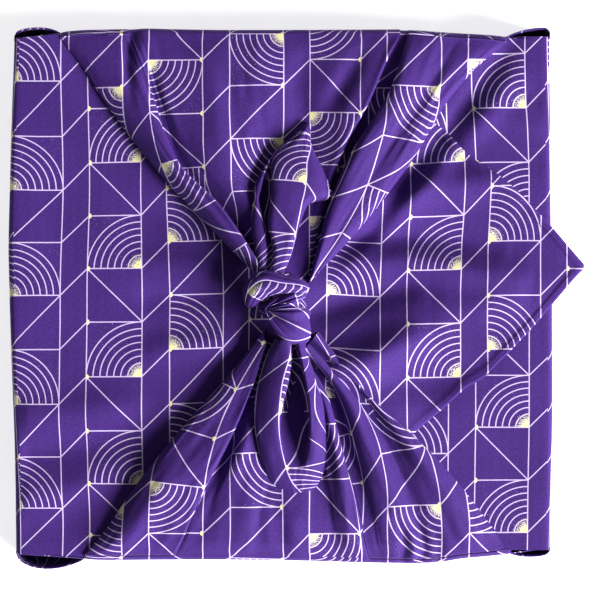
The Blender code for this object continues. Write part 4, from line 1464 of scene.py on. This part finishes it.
@dataclass
class Lobe:
    """The front of the knot: cloth that fans out from a pinch and rolls under at its rim.

    Attributes:
        pinch: where the cloth is drawn together.
        rim: the outer edge in plan, from the top right down to the lower left.
        profile: height at shares of the way from the pinch to the rim.
        folds: how many fine folds leave the pinch.
        fold_depth: how deep they are.
        start: the flat place where its print starts.
        cloth: width of the flat cloth that is gathered at the pinch.
        seed: number of the first field of its unevenness.
        STRETCH: cloth between the pinch and the rim, for each millimetre in plan.
    """

    pinch: Plan
    rim: tuple[Plan, ...]
    profile: tuple[Plan, ...]
    folds: int
    fold_depth: float
    start: Plan
    cloth: float
    seed: int
    rows: int = 48
    columns: int = 132

    STRETCH = 1.25

    def patch(self) -> Patch:
        """Lay the lobe.

        Returns:
            The lobe's stretch of cloth.
        """
        angle = np.linspace(0.0, 1.0, self.columns)
        rim = through(np.array(self.rim, dtype=float), angle)
        reach = np.linspace(0.0, 1.0, self.rows) ** 1.1
        share, place = np.meshgrid(reach, angle, indexing="ij")
        centre = np.array(self.pinch)
        plan = centre + share[..., None] * (rim - centre)[None]
        # The height is mostly the smooth profile, with a little of the straight one's corners.
        profile = np.array(self.profile)
        shares, heights = through(profile, np.linspace(0.0, 1.0, 4 * self.rows)).T
        smooth = np.interp(share, np.maximum.accumulate(shares), heights)
        z = 0.3 * np.interp(share, *profile.T) + 0.7 * smooth
        uneven = drift(place * 5.0, share * 2.0, self.seed)
        ridge = np.abs(np.sin(math.pi * (self.folds * place + 0.5 * uneven))) ** 0.8
        strength = ramp(share, 0.02, 0.16) * (1.0 - 0.75 * ramp(share, 0.55, 0.95))
        strength *= 1.0 - 0.72 * ramp(place, 0.42, 0.72)
        z += self.fold_depth * strength * (ridge - 0.6)
        z += 0.3 * strength * drift(place * 14.0, share * 3.0, self.seed + 1)
        z -= 2.4 * ramp(np.abs(place - 0.5), 0.34, 0.5) * ramp(share, 0.1, 0.5)
        points = np.concatenate([plan, z[..., None]], axis=-1)
        length = share * np.linalg.norm(rim - centre, axis=1)[None] * self.STRETCH
        flat = np.stack([self.start[0] + self.cloth * place, self.start[1] + length], axis=-1)
        return Patch(points, flat, UP)


FRONT_LOBE = Lobe(
    pinch=(-8.8, -8.2),
    rim=((-4.4, -1.2), (0.6, 1.2), (5.8, 2.4), (10.6, 2.8), (13.4, 1.8), (14.2, -0.6),
         (11.6, -2.6), (11.0, -5.6), (14.4, -7.6), (16.6, -9.6), (15.6, -12.4), (16.2, -16.0),
         (16.6, -20.4), (15.6, -24.8), (12.4, -27.4), (8.4, -28.0), (4.4, -26.8), (0.8, -24.4),
         (-2.6, -20.8), (-5.2, -16.2), (-7.0, -12.4)),
    profile=((0.0, 47.4), (0.1, 48.6), (0.25, 50.4), (0.45, 52.2), (0.65, 52.4), (0.8, 51.0),
             (0.9, 48.6), (1.0, 42.0)),
    folds=11, fold_depth=2.1, start=(5.0, 96.0), cloth=64.0, seed=45,
)


# ---------------------------------------------------------------- finishes


def linear(hex_colour: str) -> tuple[float, float, float, float]:
    """Turn an sRGB hex colour into Blender's linear colour.

    Args:
        hex_colour: a hash sign and six hex digits.

    Returns:
        Red, green, blue and an alpha of 1.
    """

    def channel(value: float) -> float:
        """One channel, from 0 to 1."""
        return value / 12.92 if value <= 0.04045 else ((value + 0.055) / 1.055) ** 2.4

    parts = [int(hex_colour[start:start + 2], 16) / 255.0 for start in (1, 3, 5)]
    return (*(channel(part) for part in parts), 1.0)


class Nodes:
    """A material's node tree."""

    def __init__(self, name: str) -> None:
        """Start a material with only its shader and output."""
        self.material = bpy.data.materials.new(name)
        self.material.use_nodes = True
        self.tree = self.material.node_tree
        self.shader = self.tree.nodes["Principled BSDF"]

    def fill(self, node: bpy.types.Node, inputs: dict | Sequence) -> None:
        """Fill a node's inputs.

        Args:
            node: the node.
            inputs: values or output sockets, by name or in order.
        """
        for key, value in inputs.items() if isinstance(inputs, dict) else enumerate(inputs):
            if isinstance(value, bpy.types.NodeSocket):
                self.tree.links.new(value, node.inputs[key])
            else:
                node.inputs[key].default_value = value

    def add(
        self, kind: str, inputs: dict | Sequence = (), output: str | int = 0, **settings: Any
    ) -> bpy.types.NodeSocket:
        """Add a node, set its properties and fill its inputs.

        Args:
            kind: the node's type, without ShaderNode before it.
            inputs: values or output sockets, by name or in order.
            output: which of its outputs is wanted.
            settings: properties of the node.

        Returns:
            The socket of that output.
        """
        node = self.tree.nodes.new(f"ShaderNode{kind}")
        for key, value in settings.items():
            setattr(node, key, value)
        self.fill(node, inputs)
        return node.outputs[output]


ARC_STEP = 0.25
DOT_RADIUS = 0.1
FAR = 9.0
SLOPE = math.sqrt(0.5)

# The print, step by step: what is found, the operation and its inputs. One unit is the width
# of a strip. Each line is a distance from it, and FAR is added where it isn't drawn.
PRINT_STEPS: tuple[tuple[str | float, ...], ...] = (
    ("column", "DIVIDE", "across", 3.0),
    ("column", "FLOOR", "column"),
    ("x", "MULTIPLY", "column", 3.0),
    ("x", "SUBTRACT", "across", "x"),
    ("y", "SUBTRACT", "along", "column"),
    ("y", "FLOORED_MODULO", "y", 4.0),
    ("odd", "FLOORED_MODULO", "column", 2.0),
    ("even", "SUBTRACT", 1.0, "odd"),
    ("in_squares", "LESS_THAN", "x", 2.0),
    ("in_strip", "SUBTRACT", 1.0, "in_squares"),
    # The upright lines on both sides of each column and each strip.
    ("left", "ABSOLUTE", "x"),
    ("middle", "SUBTRACT", "x", 2.0),
    ("middle", "ABSOLUTE", "middle"),
    ("right", "SUBTRACT", "x", 3.0),
    ("right", "ABSOLUTE", "right"),
    ("sides", "MINIMUM", "left", "right"),
    ("upright", "MINIMUM", "sides", "middle"),
    # The level lines between the squares.
    ("level", "ADD", "y", 1.0),
    ("level", "FLOORED_MODULO", "level", 2.0),
    ("level", "SUBTRACT", "level", 1.0),
    ("level", "ABSOLUTE", "level"),
    ("off", "MULTIPLY", "in_strip", FAR),
    ("level", "ADD", "level", "off"),
    # The slanting lines of the strips.
    ("slant", "SUBTRACT", "x", 2.0),
    ("slant", "SUBTRACT", "y", "slant"),
    ("slant", "ADD", "slant", 1.0),
    ("slant", "FLOORED_MODULO", "slant", 2.0),
    ("slant", "SUBTRACT", "slant", 1.0),
    ("slant", "ABSOLUTE", "slant"),
    ("slant", "MULTIPLY", "slant", SLOPE),
    ("off", "MULTIPLY", "in_squares", FAR),
    ("slant", "ADD", "slant", "off"),
    # The quarter circles of every other square, round its left or right foot.
    ("in_arcs", "LESS_THAN", "y", 2.0),
    ("in_arcs", "MULTIPLY", "in_arcs", "in_squares"),
    ("foot", "MULTIPLY", "odd", 2.0),
    ("run", "SUBTRACT", "x", "foot"),
    ("run", "MULTIPLY", "run", "run"),
    ("rise", "MULTIPLY", "y", "y"),
    ("radius", "ADD", "run", "rise"),
    ("radius", "SQRT", "radius"),
    ("arcs", "DIVIDE", "radius", ARC_STEP),
    ("whole", "ROUND", "arcs"),
    ("arcs", "SUBTRACT", "arcs", "whole"),
    ("arcs", "ABSOLUTE", "arcs"),
    ("arcs", "MULTIPLY", "arcs", ARC_STEP),
    ("off", "LESS_THAN", "radius", 0.5 * ARC_STEP),
    ("arcs", "ADD", "arcs", "off"),
    ("off", "GREATER_THAN", "radius", 2.0 + 0.5 * ARC_STEP),
    ("arcs", "ADD", "arcs", "off"),
    ("off", "SUBTRACT", 1.0, "in_arcs"),
    ("off", "MULTIPLY", "off", FAR),
    ("arcs", "ADD", "arcs", "off"),
    # The diagonal of the other squares, which rises in even columns and falls in odd ones.
    ("height", "SUBTRACT", "y", 2.0),
    ("rising", "SUBTRACT", "height", "x"),
    ("rising", "MULTIPLY", "rising", "even"),
    ("falling", "ADD", "height", "x"),
    ("falling", "SUBTRACT", "falling", 2.0),
    ("falling", "MULTIPLY", "falling", "odd"),
    ("diagonal", "ADD", "rising", "falling"),
    ("diagonal", "ABSOLUTE", "diagonal"),
    ("diagonal", "MULTIPLY", "diagonal", SLOPE),
    ("in_plain", "GREATER_THAN", "y", 2.0),
    ("in_plain", "MULTIPLY", "in_plain", "in_squares"),
    ("off", "SUBTRACT", 1.0, "in_plain"),
    ("off", "MULTIPLY", "off", FAR),
    ("diagonal", "ADD", "diagonal", "off"),
    # The nearest of all lines.
    ("square", "MINIMUM", "upright", "level"),
    ("nearest", "MINIMUM", "slant", "diagonal"),
    ("nearest", "MINIMUM", "square", "nearest"),
    ("nearest", "MINIMUM", "nearest", "arcs"),
    # A gold dot where the squares of a column meet at its sides.
    ("run", "POWER", "sides", 2.0),
    ("rise", "POWER", "level", 2.0),
    ("dot", "ADD", "run", "rise"),
    ("dot", "SQRT", "dot"),
    ("dot", "LESS_THAN", "dot", DOT_RADIUS),
)


@dataclass(frozen=True)
class PrintedCotton:
    """Light plain-weave cotton, dyed purple and printed with fine pale lines.

    The eye sees a matt cloth with a soft sheen at grazing folds, thin lines of lilac white
    pigment, and gold pigment stippled round the corner that the arcs are drawn about.

    Attributes:
        ground: the dyed cloth.
        ground_light: its lighter patches.
        ground_deep: the gaps between threads, and the thread of the hem.
        line: lilac white pigment.
        gold: pale gold pigment.
        sheen_tint: colour of the fibre ends at grazing folds.
        unit_mm: width of a strip of the print.
        line_mm: width of a printed line.
        ripple_mm: distance between the weave's soft ripples.
        hem_mm: distance of the stitches from the edge.
        stitch_mm: length of a stitch and of a gap.
        mottle: patches of lighter dye for each metre, about 29 mm wide.
        speck: specks of the yarn for each metre, about 1.1 mm wide.
        grains: grains of gold pigment for each metre, about 0.6 mm wide.
        speck_range: where the yarn's specks start and are full.
        stitch_edge: distances from the stitches' row where they fade, in millimetres.
        line_edge: where a printed line fades, in half widths.
        gold_reach: how far the gold goes from its corner, full and none, in units.
        stipple_range: where the grains of gold start and are full.
    """

    ground: str = "#321360"
    ground_light: str = "#401c74"
    ground_deep: str = "#230c47"
    line: str = "#b8a7cd"
    gold: str = "#d2ce98"
    sheen_tint: str = "#b79be8"
    unit_mm: float = 14.8
    line_mm: float = 0.6
    ripple_mm: float = 1.8 * math.pi
    hem_mm: float = 4.2
    stitch_mm: float = 1.6
    mottle: float = 34.0
    speck: float = 900.0
    grains: float = 1800.0
    speck_range: Plan = (0.34, 0.86)
    stitch_edge: Plan = (0.15, 0.4)
    line_edge: Plan = (0.72, 1.28)
    gold_reach: Plan = (0.06, 0.62)
    stipple_range: Plan = (0.70, 0.80)
    roughness: float = 0.82
    specular: float = 0.25
    sheen: float = 0.12
    sheen_roughness: float = 0.45
    bump: float = 0.25
    bump_mm: float = 0.2

    def build(self) -> bpy.types.Material:
        """Make the material.

        Returns:
            The printed cotton.
        """
        n = Nodes("printed_plain_weave_cotton")
        place = n.add("UVMap", uv_map="flat_cloth")
        lines, gold = self._motif(n, place)
        stitches = self._stitches(n, place)
        mottle = n.add("TexNoise", {"Vector": place, "Scale": self.mottle, "Detail": 3.0})
        fine = n.add("TexNoise", {"Vector": place, "Scale": self.speck, "Detail": 2.0})
        low, high = self.speck_range
        speck = n.add("MapRange", {"Value": fine, "From Min": low, "From Max": high})
        deep = linear(self.ground_deep)
        sewn = n.add("Math", (stitches, 0.5), operation="MULTIPLY")
        pigment = n.add(
            "Mix", {"Factor": gold, "A": linear(self.line), "B": linear(self.gold)},
            output="Result", data_type="RGBA",
        )
        colour: Any = linear(self.ground)
        for share, over in (
            (mottle, linear(self.ground_light)), (speck, deep), (lines, pigment), (sewn, deep),
        ):
            colour = n.add(
                "Mix", {"Factor": share, "A": colour, "B": over},
                output="Result", data_type="RGBA",
            )
        n.fill(n.shader, {
            "Base Color": colour,
            "Roughness": self.roughness,
            "Specular IOR Level": self.specular,
            "Sheen Weight": self.sheen,
            "Sheen Roughness": self.sheen_roughness,
            "Sheen Tint": linear(self.sheen_tint),
            "Normal": self._relief(n, place, lines, stitches),
        })
        return n.material

    def _stitches(self, n: Nodes, place: bpy.types.NodeSocket) -> bpy.types.NodeSocket:
        """The row of stitches that holds the hem, as short dashes.

        Args:
            n: the material's nodes.
            place: the place on the flat cloth.

        Returns:
            How much of a stitch each place has.
        """
        hem = n.add("Attribute", output="Fac", attribute_name="hem_distance")
        gap = n.add("Math", (hem, self.hem_mm), operation="SUBTRACT")
        gap = n.add("Math", (gap,), operation="ABSOLUTE")
        full, none = self.stitch_edge
        row = n.add("MapRange", {
            "Value": gap, "From Min": full, "From Max": none, "To Min": 1.0, "To Max": 0.0,
        })
        size = 1.0 / (self.stitch_mm * MM)
        dashes = n.add("TexChecker", {"Vector": place, "Scale": size}, output="Fac")
        dashes = n.add("Math", (dashes, 0.7, 0.3), operation="MULTIPLY_ADD")
        return n.add("Math", (row, dashes), operation="MULTIPLY")

    def _motif(
        self, n: Nodes, place: bpy.types.NodeSocket
    ) -> tuple[bpy.types.NodeSocket, bpy.types.NodeSocket]:
        """The printed lines and where they are gold.

        Columns of squares, two units wide, alternate with strips of slanting lines one unit
        wide, and each column is one unit higher than the last. Every other square holds
        quarter circles round one corner, and the rest one diagonal.

        Args:
            n: the material's nodes.
            place: the place on the flat cloth.

        Returns:
            How much pigment each place has, and how much of it is gold.
        """
        split = n.add("SeparateXYZ", (place,)).node
        scale = 1.0 / (self.unit_mm * MM)
        found: dict[Any, bpy.types.NodeSocket] = {
            name: n.add("Math", (split.outputs[axis], scale), operation="MULTIPLY")
            for name, axis in (("across", "X"), ("along", "Y"))
        }
        for name, operation, *inputs in PRINT_STEPS:
            values = [found.get(item, item) for item in inputs]
            found[name] = n.add("Math", values, operation=operation)

        half = 0.5 * self.line_mm / self.unit_mm
        drawn, near = (
            n.add("MapRange", {
                "Value": found[name], "From Min": full, "From Max": none,
                "To Min": 1.0, "To Max": 0.0,
            })
            for name, (full, none) in (
                ("nearest", [half * edge for edge in self.line_edge]),
                ("radius", self.gold_reach),
            )
        )
        near = n.add("Math", (near, found["in_arcs"]), operation="MULTIPLY")
        fine = n.add("VectorMath", {0: place, "Scale": self.grains}, operation="SCALE")
        grain = n.add("TexNoise", {"Vector": fine, "Scale": 1.0, "Detail": 1.0})
        grain = n.add("Math", (near, 0.55, grain), operation="MULTIPLY_ADD")
        low, high = self.stipple_range
        stipple = n.add("MapRange", {"Value": grain, "From Min": low, "From Max": high})
        stipple = n.add("Math", (stipple, found["in_arcs"]), operation="MULTIPLY")
        lines = n.add("Math", (drawn, stipple), operation="MAXIMUM")
        lines = n.add("Math", (lines, found["dot"]), operation="MAXIMUM")
        gold = n.add("Math", (near, 1.3), operation="MULTIPLY")
        gold = n.add("Math", (gold, 1.0), operation="MINIMUM")
        gold = n.add("Math", (gold, found["dot"]), operation="MAXIMUM")
        return lines, gold

    def _relief(
        self, n: Nodes, place: bpy.types.NodeSocket, lines: bpy.types.NodeSocket,
        stitches: bpy.types.NodeSocket,
    ) -> bpy.types.NodeSocket:
        """Weave, pigment and stitches, as one bump.

        The threads are about 0.3 mm apart, too fine for the render. What shows is the
        weave's unevenness, as soft ripples along both threads.

        Args:
            n: the material's nodes.
            place: the place on the flat cloth.
            lines: how much pigment each place has.
            stitches: how much of a stitch each place has.

        Returns:
            The bumped normal.
        """
        # The wave node repeats every 2 pi / 20 of its scaled coordinate.
        scale = 2.0 * math.pi / (20.0 * self.ripple_mm * MM)
        warp, weft = (
            n.add(
                "TexWave", {"Vector": place, "Scale": scale, "Distortion": 1.5, "Detail": 1.0},
                output="Fac", bands_direction=way,
            )
            for way in ("X", "Y")
        )
        weave = n.add("Math", (warp, weft), operation="MULTIPLY")
        pigment = n.add("Math", (lines, 0.5), operation="MULTIPLY")
        height = n.add("Math", (weave, pigment), operation="ADD")
        sunk = n.add("Math", (stitches, 2.0), operation="MULTIPLY")
        height = n.add("Math", (height, sunk), operation="SUBTRACT")
        return n.add(
            "Bump", {"Height": height, "Strength": self.bump, "Distance": self.bump_mm * MM}
        )


@dataclass(frozen=True)
class Paper:
    """Plain white matt paper under the parcel, which glows a little so that it reads white.

    Attributes:
        colour: the paper.
        shade: its slightly greyer patches.
        patches: patches for each metre, about 17 mm wide.
        glow: strength of its own light.
    """

    colour: str = "#f7f7f8"
    shade: str = "#f2f2f4"
    patches: float = 60.0
    roughness: float = 0.9
    glow: float = 0.7

    def build(self) -> bpy.types.Material:
        """Make the material.

        Returns:
            The paper.
        """
        n = Nodes("matt_white_paper")
        grain = n.add("TexNoise", {"Scale": self.patches, "Detail": 2.0})
        tone = n.add(
            "Mix", {"Factor": grain, "A": linear(self.colour), "B": linear(self.shade)},
            output="Result", data_type="RGBA",
        )
        n.fill(n.shader, {
            "Base Color": tone,
            "Roughness": self.roughness,
            "Emission Color": WHITE,
            "Emission Strength": self.glow,
        })
        return n.material


# ---------------------------------------------------------------- assembly


@dataclass
class Furoshiki:
    """The whole wrapped cloth, as one thin sheet on the folds of its solid."""

    name: str = "wrapped_cloth"
    finish: PrintedCotton = field(default_factory=PrintedCotton)

    def build(self) -> bpy.types.Object:
        """Lay every part of the cloth and dress it.

        Returns:
            The cloth.
        """
        sheet = Sheet()
        west, east = WestFlap(), EastFlap()
        north = GatheredFlap(
            Side.NORTH, NORTH_RAILS, panels=(9, 21), spines=(7, 15, 24),
            twist=(-34.0, 0.0, 34.0), creases=NORTH_CREASES, seed=51,
        )
        south = GatheredFlap(
            Side.SOUTH, SOUTH_RAILS, panels=(10, 21), spines=(7, 15, 25),
            twist=(34.0, 0.0, -32.0), creases=SOUTH_CREASES, seed=61, billow=4.8,
        )
        walls = [
            west.wall(),
            gathered_wall(south, SOUTH_WEST_EAR, SOUTH_EAST_EAR, 33),
            east.wall(),
            gathered_wall(north, NORTH_WEST_EAR, NORTH_EAST_EAR, 35),
        ]
        ears = (NORTH_WEST_EAR, NORTH_EAST_EAR, SOUTH_WEST_EAR, SOUTH_EAST_EAR)
        upper = Tail(UPPER_TAIL, start=(6.0, 185.0), sign=1.0, spine=6, seed=71)
        lower = Tail(LOWER_TAIL, start=(-9.0, -196.0), sign=-1.0, spine=2, seed=75)
        for patch in (
            *(wall.patch() for wall in walls), west.patch(), east.patch(),
            *north.patch(), *south.patch(), *(ear.lining() for ear in ears),
            *(part.patch() for part in (upper, lower, *KNOT, FRONT_LOBE)),
        ):
            sheet.add(patch)
        sheet.add_floor(self._base(walls))
        piece = sheet.finish(self.name)
        piece.data.materials.append(self.finish.build())
        return piece

    def _base(self, walls: Sequence[Wall]) -> list[Point]:
        """Outline of the flat base inside the four walls' feet.

        Args:
            walls: the west, south, east and north walls.

        Returns:
            The outline, with no point on another.
        """
        west, south, east, north = (wall.foot() for wall in walls)
        outline = [*reversed(west), *south, *east, *reversed(north)]
        kept = [outline[0]]
        for point in outline[1:]:
            if math.dist(point, kept[-1]) > 0.05:
                kept.append(point)
        return kept


@dataclass
class Studio:
    """A plain floor, one low soft light from the east and the camera above the parcel.

    Attributes:
        aim: what the camera looks straight down at.
        height: the camera's height.
        frame_width: width of the picture at the height of the aim.
        light_place: middle of the light.
        light_size: side of the square light, in metres.
        light_power: its power, in watts.
        world: strength of the even white surround.
    """

    aim: Point = (10.5, -2.8, 30.0)
    height: float = 1500.0
    frame_width: float = 332.0
    sensor: float = 36.0
    light_place: Point = (3200.0, -1640.0, 1800.0)
    light_size: float = 2.0
    light_power: float = 660.0
    world: float = 0.2

    def build(self) -> None:
        """Set the stage."""
        bpy.context.scene.view_settings.view_transform = "Standard"
        self._floor()
        self._light()
        self._surround()
        self._camera()
        LOG.info("studio: floor, light and camera")

    def _floor(self) -> None:
        """A wide plane just under the parcel."""
        plane = bmesh.new()
        bmesh.ops.create_grid(plane, x_segments=1, y_segments=1, size=3.0)
        data = bpy.data.meshes.new("floor")
        plane.to_mesh(data)
        plane.free()
        data.materials.append(Paper().build())
        floor = bpy.data.objects.new("floor", data)
        bpy.context.collection.objects.link(floor)

    def _light(self) -> None:
        """One large soft light low in the east, which faces the parcel."""
        data = bpy.data.lights.new("side_light", "AREA")
        data.shape = "SQUARE"
        data.size = self.light_size
        data.energy = self.light_power
        lamp = bpy.data.objects.new("side_light", data)
        x, y, z = self.light_place
        lamp.location = (x * MM, y * MM, z * MM)
        lamp.rotation_euler = (-math.atan2(y, math.hypot(x, z)), math.atan2(x, z), 0.0)
        bpy.context.collection.objects.link(lamp)

    def _surround(self) -> None:
        """An even white surround, which fills the shadows."""
        world = bpy.data.worlds.new("surround")
        world.use_nodes = True
        shade = world.node_tree.nodes["Background"]
        shade.inputs["Color"].default_value = WHITE
        shade.inputs["Strength"].default_value = self.world
        bpy.context.scene.world = world

    def _camera(self) -> None:
        """Straight above, framed as the photograph is."""
        x, y, z = self.aim
        data = bpy.data.cameras.new("camera")
        data.sensor_width = self.sensor
        data.lens = self.sensor * (self.height - z) / self.frame_width
        data.clip_end = 20.0
        camera = bpy.data.objects.new("camera", data)
        camera.location = (x * MM, y * MM, self.height * MM)
        bpy.context.collection.objects.link(camera)
        bpy.context.scene.camera = camera


def main() -> None:
    """Build the stage and the cloth."""
    logging.basicConfig(level=logging.INFO, format="%(name)s: %(message)s")
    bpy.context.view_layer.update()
    Studio().build()
    cloth = Furoshiki().build()
    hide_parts(NODE)
    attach(cloth, "root")


if __name__ == "__main__":
    main()
